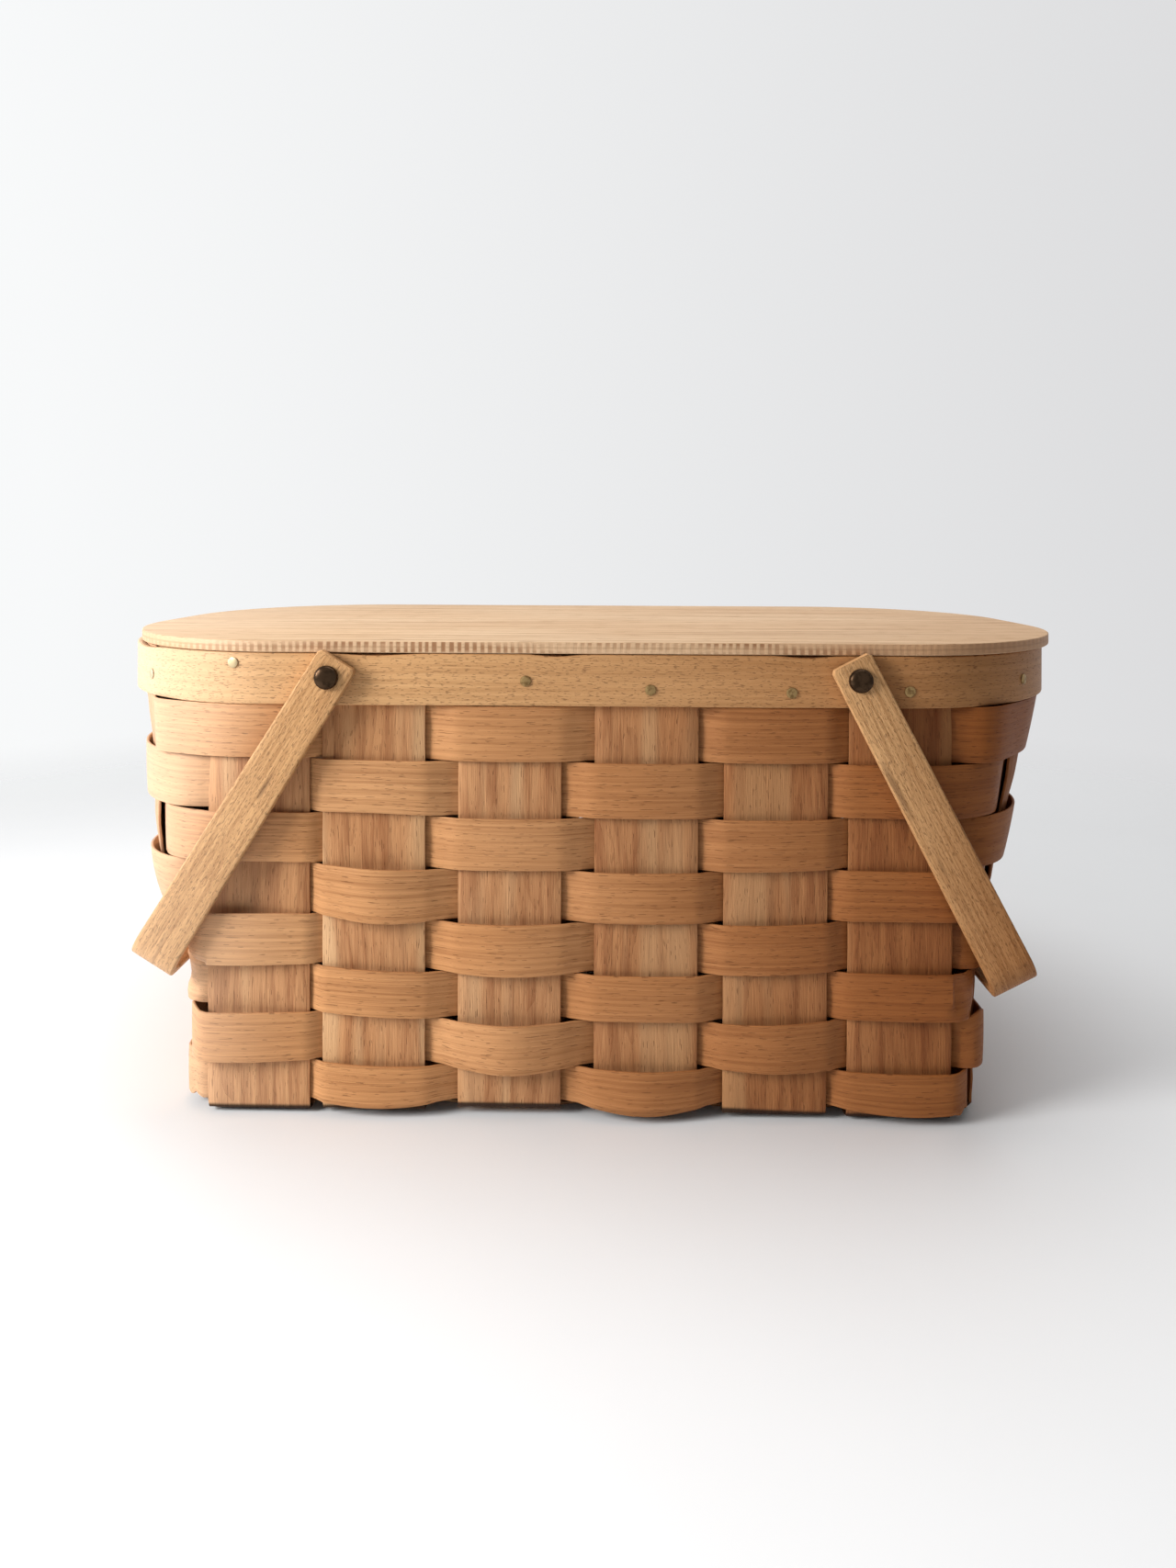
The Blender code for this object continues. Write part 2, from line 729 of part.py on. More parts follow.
def make_nails(outer_band):
    """Small brass nails in holes through the outer band, their heads on its face."""
    shank_end = -(OUTER_BAND_THICKNESS - TOUCH_GAP)
    seat = TOUCH_GAP
    profile = [(0, shank_end), (NAIL_SHANK_RADIUS, shank_end), (NAIL_SHANK_RADIUS, seat)]
    profile += dome(NAIL_DOME, NAIL_HEAD_RADIUS, seat, NAIL_HEAD_HEIGHT)
    frames = nail_frames()
    for name, frame in frames.items():
        add_object(name, turned(profile, NAIL_STEPS, frame), BRASS, smooth=True)
    radius = (NAIL_SHANK_RADIUS + TOUCH_GAP) / cos(pi / HOLE_STEPS)
    reach = OUTER_BAND_THICKNESS + DRILL_PAST
    hole = [(0, -reach), (radius, -reach), (radius, reach), (0, reach)]
    cutters = [turned(hole, HOLE_STEPS, frame) for frame in frames.values()]
    add_cutter("nail_holes", gather(cutters), [outer_band])


# Handles and their rivets

def handle_sections():
    """Cross-sections of one bow, hanging straight down from pivots on the Y axis."""
    depth = ARM_REACH - HANDLE_THICKNESS / 2
    straight = depth - HANDLE_BEND

    def width(distance):
        share = min(1.0, max(0.0, (distance + ARM_TAIL) / (depth + ARM_TAIL)))
        return ARM_WIDTH + (GRIP_WIDTH - ARM_WIDTH) * share

    def ring(y, z, lean, half_width):
        """Four corners; lean turns the strip from an arm, at 0, to the crossbar, at 90."""
        across = Vector((0, cos(lean), sin(lean))) * (HANDLE_THICKNESS / 2)
        middle = Vector((0, y, z))
        side = Vector((half_width, 0, 0))
        return [middle - side - across, middle + side - across,
                middle + side + across, middle - side + across]

    front = [(-ARM_MIDDLE, ARM_TAIL, 0.0), (-ARM_MIDDLE, -straight / 2, 0.0)]
    for step in range(BEND_STEPS + 1):
        lean = pi / 2 * step / BEND_STEPS
        y = -ARM_MIDDLE + HANDLE_BEND * (1 - cos(lean))
        front.append((y, -straight - HANDLE_BEND * sin(lean), lean))
    back = [(-y, z, pi - lean) for y, z, lean in reversed(front)]
    return [ring(y, z, lean, width(-z) / 2) for y, z, lean in front + back]


def crossbar_clearance(lean, pivot_x, left):
    """How far the hanging crossbar's inner corners stand off the end wall."""
    gaps = []
    for radial in (ARM_REACH - HANDLE_THICKNESS, ARM_REACH):
        x = pivot_x + radial * sin(lean) - GRIP_WIDTH / 2 * cos(lean)
        z = PIVOT_Z - radial * cos(lean) - GRIP_WIDTH / 2 * sin(lean)
        gaps.append(x - wall_reach(z, left))
    return min(gaps)


def wall_reach(height, left):
    """Half length over the weavers, read between row joints as the splints are."""
    index = min(max(bisect_right(LEVELS, height) - 1, 0), ROWS - 1)
    low, high = LEVELS[index], LEVELS[index + 1]
    part = (height - low) / (high - low)
    ends = [wall_plan(level, left)[0] for level in (low, high)]
    return ends[0] + (ends[1] - ends[0]) * part + WEAVE_OUTER


def hanging_lean(pivot_x, left):
    """Angle from straight down at which the crossbar lies against the end wall."""
    low, high = 0.0, pi / 2
    for _ in range(BISECTIONS):
        middle = (low + high) / 2
        if crossbar_clearance(middle, pivot_x, left) < REST_GAP:
            low = middle
        else:
            high = middle
    return high


def raised_lean():
    """Angle past upright at which the two crossbars meet over the lid."""
    low, high = 0.0, pi / 2
    room = (PIVOTS["right"] - PIVOTS["left"] - MEET_GAP) / 2
    for _ in range(BISECTIONS):
        middle = (low + high) / 2
        if ARM_REACH * sin(middle) + GRIP_WIDTH / 2 * cos(middle) < room:
            low = middle
        else:
            high = middle
    return low


def make_handle(name, pivot_x, lean):
    """One bow on an empty at its pivots, turned to where it hangs."""
    pivot = bpy.data.objects.new(f"{name}_pivot", None)
    bpy.context.scene.collection.objects.link(pivot)
    pivot.location = (pivot_x, 0, PIVOT_Z)
    pivot.rotation_euler = (0, lean, 0)
    bow = add_object(name, loft(handle_sections()), WOOD_HANDLE, smooth=True)
    bow.parent = pivot
    rounding = bow.modifiers.new("softened_edges", "BEVEL")
    rounding.width = HANDLE_EDGE_ROUND
    rounding.segments = 1
    rounding.limit_method = "ANGLE"
    rounding.angle_limit = radians(SMOOTH_ANGLE)
    return bow


def pivot_frames(pivot_x):
    """Frames at a handle's two pivots, with +Z out of the front and out of the back."""
    frames = {}
    for where, sign in (("front", -1), ("back", 1)):
        place = Vector((pivot_x, 0, PIVOT_Z))
        frames[where] = facing(place, Vector((0, sign, 0)))
    return frames


def make_rivets(hand, pivot_x):
    """Domed rivets through arm, washer, bands and stake, and the burr washer inside."""
    face = TOP_PLAN[1]
    arm_outside = ARM_INSIDE + HANDLE_THICKNESS
    band_outside = face + OUTER_BAND_OUTSIDE
    band_inside = face + INNER_BAND_INSIDE
    head = arm_outside + TOUCH_GAP
    burr_top = band_inside - TOUCH_GAP
    burr_end = burr_top - BURR_THICKNESS
    end = burr_end - TOUCH_GAP
    profile = dome(RIVET_END_DOME, RIVET_END_RADIUS, end, -RIVET_END_HEIGHT)[::-1]
    profile += [(RIVET_RADIUS, end), (RIVET_RADIUS, head)]
    profile += dome(RIVET_HEAD_DOME, RIVET_HEAD_RADIUS, head, RIVET_HEAD_HEIGHT)
    washer_middle = (band_outside + ARM_INSIDE) / 2
    washer_low = washer_middle - WASHER_THICKNESS / 2
    washer_high = washer_middle + WASHER_THICKNESS / 2
    hole = hole_radius(RIVET_RADIUS)
    for where, frame in pivot_frames(pivot_x).items():
        rivet = turned(profile, TURN_STEPS, frame)
        add_object(f"{hand}_{where}_rivet", rivet, DARK_METAL, smooth=True)
        washer = turned_ring(hole, WASHER_RADIUS, washer_low, washer_high, frame)
        add_object(f"{hand}_{where}_washer", washer, DARK_METAL, smooth=True)
        burr = turned_ring(hole, BURR_RADIUS, burr_end, burr_top, frame)
        add_object(f"{hand}_{where}_burr", burr, DARK_METAL, smooth=True)


def make_pivot_holes(hand, pivot_x, targets):
    """One long drill through arms, bands and the stake that lies between the bands."""
    reach = ARM_INSIDE + HANDLE_THICKNESS + DRILL_PAST
    radius = hole_radius(RIVET_RADIUS)
    profile = [(0, -reach), (radius, -reach), (radius, reach), (0, reach)]
    frame = pivot_frames(pivot_x)["front"]
    add_cutter(f"{hand}_pivot_holes", turned(profile, TURN_STEPS, frame), targets)


# Lid

def rounded_outline(length, depth, run, spread, steps):
    """Corners of a flat board whose ends turn in quarter ellipses."""
    points = []
    for x_sign, y_sign in ((1, 1), (-1, 1), (-1, -1), (1, -1)):
        arc = []
        for step in range(steps + 1):
            angle = pi / 2 * step / steps
            arc.append(Vector((x_sign * (length - run + run * cos(angle)),
                               y_sign * (depth - spread + spread * sin(angle)), 0)))
        points += arc if x_sign * y_sign > 0 else arc[::-1]
    return points


def make_lid():
    bm = bmesh.new()
    outline = rounded_outline(LID_LENGTH / 2, LID_DEPTH / 2, LID_END_RUN, LID_END_SPREAD,
                              LID_ARC_STEPS)
    board = bm.faces.new([bm.verts.new(point) for point in outline])
    made = bmesh.ops.extrude_face_region(bm, geom=[board])["geom"]
    raised = [item for item in made if isinstance(item, bmesh.types.BMVert)]
    bmesh.ops.translate(bm, verts=raised, vec=(0, 0, LID_THICKNESS))
    rims = [edge for edge in bm.edges if edge.verts[0].co.z == edge.verts[1].co.z]
    bmesh.ops.bevel(bm, geom=rims, offset=LID_EDGE_ROUND, segments=1, profile=0.5,
                    affect="EDGES", material=-1)
    bmesh.ops.translate(bm, verts=bm.verts, vec=(LID_SHIFT, 0, LID_BOTTOM))
    add_object("lid_board", bm, WOOD_LID, smooth=True)

    band_inside = TOP_PLAN[1] + INNER_BAND_INSIDE
    length = 2 * (band_inside - BATTEN_PLAY)
    for hand, sign in (("left", -1), ("right", 1)):
        batten = bmesh.new()
        bmesh.ops.create_cube(batten, size=1.0)
        bmesh.ops.scale(batten, verts=batten.verts, vec=(BATTEN_WIDTH, length, BATTEN_HEIGHT))
        lower = [edge for edge in batten.edges if all(v.co.z < 0 for v in edge.verts)]
        bmesh.ops.bevel(batten, geom=lower, offset=BATTEN_CHAMFER, segments=1, profile=0.5,
                        affect="EDGES", material=-1)
        place = LID_SHIFT + sign * (LID_LENGTH / 2 - BATTEN_INSET)
        middle = (place, 0, LID_BOTTOM - TOUCH_GAP - BATTEN_HEIGHT / 2)
        bmesh.ops.translate(batten, verts=batten.verts, vec=middle)
        add_object(f"lid_batten_{hand}", batten, WOOD_LID)


def make_basket():
    clear_scene()
    make_weavers()
    make_stakes()
    outer_band = make_band("outer_rim_band", OUTER_BAND_INSIDE, OUTER_BAND_OUTSIDE, OUTER_LAP,
                           stake_start(2, CROSS_PLACES[3]))
    inner_band = make_band("inner_rim_band", INNER_BAND_INSIDE, INNER_BAND_OUTSIDE, INNER_LAP,
                           stake_start(2, CROSS_PLACES[1]))
    make_nails(outer_band)
    make_lid()
    for hand, stake, _ in PIVOT_STAKES:
        pivot_x = PIVOTS[hand]
        lean = hanging_lean(abs(pivot_x), hand == "left")
        bow = make_handle(f"{hand}_handle", pivot_x, lean if hand == "left" else -lean)
        pierced = bpy.data.objects[f"cross_stake_{stake + 1}"]
        make_pivot_holes(hand, pivot_x, [bow, outer_band, inner_band, pierced])
        make_rivets(hand, pivot_x)
        print(f"{hand} handle at {pivot_x:.5f} hangs {degrees(lean):.2f} degrees from straight down, "
              f"swings {180 - degrees(lean) + degrees(raised_lean()):.2f} degrees")
    print(f"rim from {RIM_BOTTOM:.4f} to {RIM_TOP:.4f}, lid top {LID_TOP:.4f}, "
          f"pivots at {PIVOT_Z:.4f}")


make_basket()
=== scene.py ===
# %% [markdown]
# A picnic basket woven from wide wood splints, with a plywood lid and two bentwood swing handles.
#
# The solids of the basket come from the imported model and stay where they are. This lesson makes
# the pieces that are seen. A basket maker works with flat strips that are soaked and bent, and
# the lesson does the same: each splint, band and handle is first made as a flat strip, its grain
# is marked on it while it is flat, and then it is bent into place.

from bisect import bisect_right
from functools import lru_cache
from math import cos, pi, radians, sin, sqrt

import bmesh
import bpy
from mathutils import Matrix, Vector, noise


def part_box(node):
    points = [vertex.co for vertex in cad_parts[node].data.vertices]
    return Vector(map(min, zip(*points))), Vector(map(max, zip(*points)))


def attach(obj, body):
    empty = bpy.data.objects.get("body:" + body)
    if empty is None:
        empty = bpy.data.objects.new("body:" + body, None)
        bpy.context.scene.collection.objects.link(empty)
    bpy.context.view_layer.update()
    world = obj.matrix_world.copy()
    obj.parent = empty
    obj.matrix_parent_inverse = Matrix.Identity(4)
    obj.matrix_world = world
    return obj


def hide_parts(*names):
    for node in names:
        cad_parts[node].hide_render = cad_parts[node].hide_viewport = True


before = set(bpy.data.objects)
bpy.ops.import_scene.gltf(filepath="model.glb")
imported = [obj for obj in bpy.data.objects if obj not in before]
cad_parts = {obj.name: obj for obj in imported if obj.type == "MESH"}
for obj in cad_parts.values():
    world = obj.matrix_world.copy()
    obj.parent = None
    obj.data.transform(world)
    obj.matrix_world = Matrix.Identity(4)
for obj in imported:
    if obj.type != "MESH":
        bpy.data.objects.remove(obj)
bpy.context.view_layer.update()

# %% [markdown]
# The sizes repeat those of the solids, in metres. The weave and the bands follow one surface,
# the middle of the upright splints, which basket makers call stakes. The splints that run
# round the basket are the weavers. Measures could be typed in where they are used, but here
# each size is written once and others are worked out from it.

# %% Sizes of the splints and bands
TOUCH_GAP = 0.0003
STAKE_WIDTH = 0.0485
SPLINT_THICKNESS = 0.0013
RIM_HEIGHT = 0.0242
OUTER_BAND = 0.0040
INNER_BAND = 0.0030
BAND_FACE = SPLINT_THICKNESS / 2 + TOUCH_GAP
BAND_OUTSIDE = BAND_FACE + OUTER_BAND
WEAVE_OFFSET = SPLINT_THICKNESS + TOUCH_GAP
FLOOR_SWING = WEAVE_OFFSET / 2
FLOOR_MIDDLE = FLOOR_SWING + SPLINT_THICKNESS / 2
STAKE_BEND = 0.0060
WALL_FOOT = FLOOR_MIDDLE + STAKE_BEND
print(f"a weaver lies {WEAVE_OFFSET:.4f} out of the wall's middle")

# %% Sizes of the lid and of the wall's plan
LID_LENGTH = 0.500
LID_DEPTH = 0.320
LID_THICKNESS = 0.0055
LID_END_RUN = 0.101
LID_END_SPREAD = 0.1337
LID_SHIFT = 0.0029
LID_OVERHANG = 0.0006
LID_INSET = LID_OVERHANG + BAND_OUTSIDE

BOTTOM_CORNER = 0.012
END_FLARE = 0.05845
SIDE_FLARE = 0.00295
FLARE_START = 0.082
FLARE_SOFTNESS = 0.015
LEFT_FULLNESS = 0.0092
LEFT_FULL_FROM = 0.058
LEFT_FULL_AT = 0.112
END_DRAW = 0.13

TOP_PLAN = (LID_LENGTH / 2 - LID_INSET, LID_DEPTH / 2 - LID_INSET,
            LID_END_RUN - LID_INSET, LID_END_SPREAD - LID_INSET)
BOTTOM_PLAN = (TOP_PLAN[0] - END_FLARE, TOP_PLAN[1] - SIDE_FLARE, BOTTOM_CORNER, BOTTOM_CORNER)
print(f"mouth {2 * TOP_PLAN[0]:.3f} by {2 * TOP_PLAN[1]:.3f}, "
      f"foot {2 * BOTTOM_PLAN[0]:.3f} by {2 * BOTTOM_PLAN[1]:.3f}")

# %% Heights of the rows
ROWS = 8
BOTTOM_ROW_WIDTH = 0.0200
TOP_ROW_WIDTH = 0.0258
ROW_GAP = 0.0005

levels = [WALL_FOOT]
for row in range(ROWS):
    width = BOTTOM_ROW_WIDTH + (TOP_ROW_WIDTH - BOTTOM_ROW_WIDTH) * row / (ROWS - 1)
    levels.append(levels[-1] + width + ROW_GAP)
RIM_BOTTOM = levels[-1]
RIM_TOP = RIM_BOTTOM + RIM_HEIGHT
LID_BOTTOM = RIM_TOP + TOUCH_GAP


# %% [markdown]
# Stakes set out with a rule would stand at even distances. A maker sets them by eye, so those
# that cross the front stray to one side or the other. A stray is given as a share of the gap
# between two stakes, so two neighbours stay apart as long as their strays differ by less than one.

# %% Places of the stakes
FRONT_STRAYS = (-0.26, -0.73, -0.36, 0.01, 0.06, -0.10)
END_STRAYS = (0.0,) * 5


def stake_places(half_side, strays):
    outermost = half_side - BOTTOM_CORNER - STAKE_WIDTH / 2
    last = len(strays) - 1
    gap = 2 * outermost / last - STAKE_WIDTH
    return [outermost * (2 * i / last - 1) + gap * stray for i, stray in enumerate(strays)]


CROSS_PLACES = stake_places(BOTTOM_PLAN[0], FRONT_STRAYS)
LONG_PLACES = stake_places(BOTTOM_PLAN[1], END_STRAYS)
print("cross stakes at", [round(p, 4) for p in CROSS_PLACES])


# %% [markdown]
# The wall is upright and nearly square in plan at the foot, and grows into long round ends at
# the rim; the left end is a little fuller than the right. A lofted mesh could carry the splints,
# but the wall is described by its plan at each height instead: a straight side, then a quarter
# ellipse. That gives a point and a direction at any place, and no splint has to be pressed
# onto a mesh of facets.

# %% Shape of the wall by height
def flare(height):
    """0 at the foot and 1 at the rim, nearly flat in the lower part."""
    def ramp(z):
        rise = z - FLARE_START
        return (rise + sqrt(rise * rise + FLARE_SOFTNESS ** 2)) / 2
    inside = min(height, RIM_BOTTOM)
    return (ramp(inside) - ramp(0)) / (ramp(RIM_BOTTOM) - ramp(0))


def left_swell(height):
    """How far the left end stands out beyond the right one."""
    if not LEFT_FULL_FROM < height < RIM_BOTTOM:
        return 0.0
    edge = LEFT_FULL_FROM if height < LEFT_FULL_AT else RIM_BOTTOM
    return LEFT_FULLNESS * sin(pi / 2 * (height - edge) / (LEFT_FULL_AT - edge)) ** 2


print("flare at the foot, half way up and at the rim:",
      [round(flare(RIM_BOTTOM * part), 3) for part in (0, 0.5, 1)])

# %% One quarter of the plan
ARC_SAMPLES = 64


@lru_cache(maxsize=None)
def quarter_line(height, left):
    """Distance, point and outward normal from the middle of the front to an end."""
    share, rise = flare(height), min(height, RIM_BOTTOM) / RIM_BOTTOM
    length, depth, run, spread = (
        low + (high - low) * part
        for low, high, part in zip(BOTTOM_PLAN, TOP_PLAN, (share, rise, share, share)))
    length += left_swell(height) if left else 0.0
    marks = [(0.0, Vector((0, -depth)), Vector((0, -1)))]
    for step in range(ARC_SAMPLES + 1):
        angle = pi / 2 * (1 - step / ARC_SAMPLES)
        point = Vector((length - run + run * cos(angle), spread - depth - spread * sin(angle)))
        normal = Vector((cos(angle) / run, -sin(angle) / spread)).normalized()
        marks.append((marks[-1][0] + (point - marks[-1][1]).length, point, normal))
    end = Vector((length, 0))
    marks.append((marks[-1][0] + (end - marks[-1][1]).length, end, Vector((1, 0))))
    return marks


def quarter_at(height, distance, sx, sy):
    """Point and normal at a distance along the quarter that the two signs turn to."""
    line = quarter_line(height, sx < 0)
    index = min(max(bisect_right(line, distance, key=lambda mark: mark[0]), 1), len(line) - 1)
    (d0, p0, n0), (d1, p1, n1) = line[index - 1], line[index]
    part = (distance - d0) / (d1 - d0)
    point, normal = p0.lerp(p1, part), n0.lerp(n1, part).normalized()
    return Vector((point.x * sx, point.y * sy)), Vector((normal.x * sx, normal.y * sy))


QUARTER = quarter_line(RIM_TOP, False)[-1][0]
print(f"a quarter of the rim is {QUARTER:.4f} long")


# %% [markdown]
# A place round the basket is told by one number, its turn: the distance along the rim from the
# left edge of the front, over four sides and four corners. On a side it stays a distance, so a
# splint keeps its width all the way down. In a corner it becomes a share of the way, so that the
# corner between two splints can open with the height. The end stakes draw together towards the
# rim, where the round ends leave them less room.

# %% Once round the wall
HALF = STAKE_WIDTH / 2
FRONT_EDGES = (abs(CROSS_PLACES[0]) + HALF, CROSS_PLACES[-1] + HALF)
END_EDGE = LONG_PLACES[-1] + HALF
SIDE_SIGNS = ((1, 1), (1, -1), (-1, -1), (-1, 1))
RIM_KNOTS = [(place * (1 - END_DRAW) + edge, place * END_DRAW)
             for place in LONG_PLACES for edge in (-HALF, HALF)]


def drawn_edge(height):
    """Distance from an end's middle to the outer edge of its last stake."""
    return END_EDGE - LONG_PLACES[-1] * END_DRAW * flare(height)


def end_place(along, height):
    """Where a place on an end, measured at the rim, lies further down the drawn-in stakes."""
    index = bisect_right(RIM_KNOTS, along, key=lambda knot: knot[0])
    index = min(max(index, 1), len(RIM_KNOTS) - 1)
    (a0, shift0), (a1, shift1) = RIM_KNOTS[index - 1], RIM_KNOTS[index]
    shift = shift0 + (shift1 - shift0) * (along - a0) / (a1 - a0)
    return along + shift * (1 - flare(height))


RIM_EDGE = drawn_edge(RIM_TOP)
print(f"the ends draw in by {END_EDGE - RIM_EDGE:.4f}")


# %% Sides and corners in turn
def front_edge(side):
    """The front's edge on the right for the first two sides, on the left for the others."""
    return FRONT_EDGES[1] if side in (0, 1) else FRONT_EDGES[0]


def girth_parts():
    """Sides and corners in turn from the front's left edge: start, length, side, is corner."""
    parts, start = [], 0.0
    for side in range(4):
        length = sum(FRONT_EDGES) if side in (0, 2) else 2 * RIM_EDGE
        parts.append((start, length, side, False))
        start += length
        length = QUARTER - front_edge(side) - RIM_EDGE
        parts.append((start, length, side, True))
        start += length
    return parts, start


GIRTH_PARTS, GIRTH = girth_parts()


def part_at(turn):
    return GIRTH_PARTS[bisect_right(GIRTH_PARTS, turn, key=lambda part: part[0]) - 1]


print(f"once round the rim: {GIRTH:.3f} m")


# %% A place on the wall
def on_side(side, along, height):
    """Point and normal at a distance along a side, measured from its middle."""
    ahead = 1 if along >= 0 else -1
    sx, sy = ((ahead, 1), (1, -ahead), (ahead, -1), (-1, -ahead))[side]
    quarter = quarter_line(height, sx < 0)[-1][0]
    distance = abs(along) if side in (0, 2) else quarter - abs(along)
    return quarter_at(height, distance, sx, sy)


def on_wall(turn, height, offset):
    """The point at a distance round the rim, a height, and an offset out of the wall."""
    turn %= GIRTH
    start, length, side, corner = part_at(turn)
    share = (turn - start) / length
    if not corner:
        low, high = ((-FRONT_EDGES[0], FRONT_EDGES[1]), (-RIM_EDGE, RIM_EDGE))[side % 2]
        if side in (2, 3):
            low, high = high, low
        along = low + (high - low) * share
        point, normal = on_side(side, end_place(along, height) if side % 2 else along, height)
    else:
        sx, sy = SIDE_SIGNS[side]
        part = share if side in (0, 2) else 1 - share
        near = front_edge(side)
        far = quarter_line(height, sx < 0)[-1][0] - drawn_edge(height)
        point, normal = quarter_at(height, near + (far - near) * part, sx, sy)
    return Vector((*(point + normal * offset), height))


print("front middle:", on_wall(FRONT_EDGES[0], 0.1, 0).to_tuple(4))


# %% Where each stake lies in turn
def stake_turns():
    """Start and end of every stake round the rim, counted from the front's left end."""
    turns = []
    for start, length, side, corner in GIRTH_PARTS:
        if corner:
            continue
        places = CROSS_PLACES if side in (0, 2) else [p * (1 - END_DRAW) for p in LONG_PLACES]
        low = -FRONT_EDGES[0] if side in (0, 2) else -RIM_EDGE
        shares = [place - HALF - low for place in places]
        if side in (2, 3):
            shares = [length - share - STAKE_WIDTH for share in reversed(shares)]
        turns += [(start + share, start + share + STAKE_WIDTH) for share in shares]
    return turns


STAKE_TURNS = stake_turns()
print(len(STAKE_TURNS), "stakes cross the wall")


# %% [markdown]
# Every splint, band and handle starts as a flat strip: a cube stretched to its size, its long
# edges eased with a bevel, then divided along and across so that it can bend. The UV map is
# laid while the strip is flat, in metres, with U along the wood. A strip modelled in its bent
# shape would have to be unwrapped afterwards; here the grain follows by itself, however the strip
# is bent. A shift in V gives each strip a different piece of wood.

# %% Flat strips
def flat_strip(length, width, thickness, along, across, easing, easing_steps=2):
    """A strip along +X from 0, with its thickness along Y and its width along Z."""
    bm = bmesh.new()
    bmesh.ops.create_cube(bm, size=1.0)
    bmesh.ops.translate(bm, verts=bm.verts, vec=(0.5, 0, 0))
    bmesh.ops.scale(bm, verts=bm.verts, vec=(length, thickness, width))

    def runs(axis, least):
        return [e for e in bm.edges if abs(e.verts[0].co[axis] - e.verts[1].co[axis]) > least]

    bmesh.ops.bevel(bm, geom=runs(0, length / 2), offset=easing, segments=easing_steps,
                    profile=0.5, affect="EDGES", material=-1)
    bmesh.ops.subdivide_edges(bm, edges=runs(2, width / 2), cuts=across, use_grid_fill=True)
    bmesh.ops.subdivide_edges(bm, edges=runs(0, length / 2), cuts=along, use_grid_fill=True)
    return bm


def mark_grain(bm, wood_piece):
    """Lay the UV map while the strip is flat: U along it and V across it, in metres."""
    uv = bm.loops.layers.uv.new("grain")
    for face in bm.faces:
        side = 1.0 if face.normal.y > 0 else -1.0
        for loop in face.loops:
            x, y, z = loop.vert.co
            loop[uv].uv = (x, z + side * y * 0.5 + wood_piece)


trial = flat_strip(0.2, STAKE_WIDTH, SPLINT_THICKNESS, 9, 2, 0.0003)
print("faces of a trial strip:", len(trial.faces))
trial.free()


# %% Bending
def bend(bm, place):
    for vert in bm.verts:
        vert.co = place(*vert.co)


def smooth(x):
    """A soft step from 0 to 1."""
    x = min(1.0, max(0.0, x))
    return x * x * (3 - 2 * x)


print("the soft step at 0, a quarter and 1:", smooth(0), smooth(0.25), smooth(1))


# %% [markdown]
# A finished mesh has to become a piece that rides on its body of the basket and stands for its
# solid, so that it moves with the lid or the handle it belongs to. One helper does this for all
# pieces. Another drills a piece with a turned cutter. The Boolean modifier could be left on the
# piece, but its result is kept as the mesh, so that the piece is the same wherever it is opened.

# %% Finished pieces
SMOOTH_ANGLE = radians(40)
made_pieces = []


def mesh_from(name, bm):
    mesh = bpy.data.meshes.new(name)
    bm.to_mesh(mesh)
    bm.free()
    return mesh


def put_in_scene(name, data):
    made = bpy.data.objects.new(name, data)
    bpy.context.scene.collection.objects.link(made)
    return made


def finish_piece(name, bm, body, stands_for, finish):
    bmesh.ops.recalc_face_normals(bm, faces=bm.faces)
    mesh = mesh_from(name, bm)
    mesh.shade_smooth()
    mesh.set_sharp_from_angle(angle=SMOOTH_ANGLE)
    piece = put_in_scene(name, mesh)
    mesh.materials.append(finish)
    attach(piece, body)
    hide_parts(*stands_for)
    made_pieces.append(piece)
    return piece


# %% Drilling
def drill(piece, cutter_bm):
    """Cut a hole with a Boolean modifier and keep the result as the piece's mesh."""
    cutter = put_in_scene("drill", mesh_from("drill", cutter_bm))
    cut = piece.modifiers.new("drill", "BOOLEAN")
    cut.operation, cut.solver, cut.object = "DIFFERENCE", "EXACT", cutter
    bpy.context.view_layer.update()
    drilled = bpy.data.meshes.new_from_object(
        piece.evaluated_get(bpy.context.evaluated_depsgraph_get()))
    piece.modifiers.remove(cut)
    bpy.data.objects.remove(cutter)
    old, piece.data = piece.data, drilled
    drilled.name = piece.name
    bpy.data.meshes.remove(old)


# %% [markdown]
# Finishes are procedural: noise and sums of it, worked out by nodes. Nodes placed one by one are
# hard to read as code, so a number that varies over the surface is wrapped in a small class, and
# shader sums are written as plain expressions. One method makes every other node.

# %% A number that varies over a surface
class Signal:
    """A number or colour that varies over a surface."""

    def __init__(self, finish, socket):
        self.finish, self.socket = finish, socket

    def __add__(self, other):
        return self.finish.math("ADD", self, other)

    def __sub__(self, other):
        return self.finish.math("SUBTRACT", self, other)

    def __rsub__(self, other):
        return self.finish.math("SUBTRACT", other, self)

    def __mul__(self, other):
        return self.finish.math("MULTIPLY", self, other)

    def __pow__(self, other):
        return self.finish.math("POWER", self, other)

    __radd__, __rmul__ = __add__, __mul__


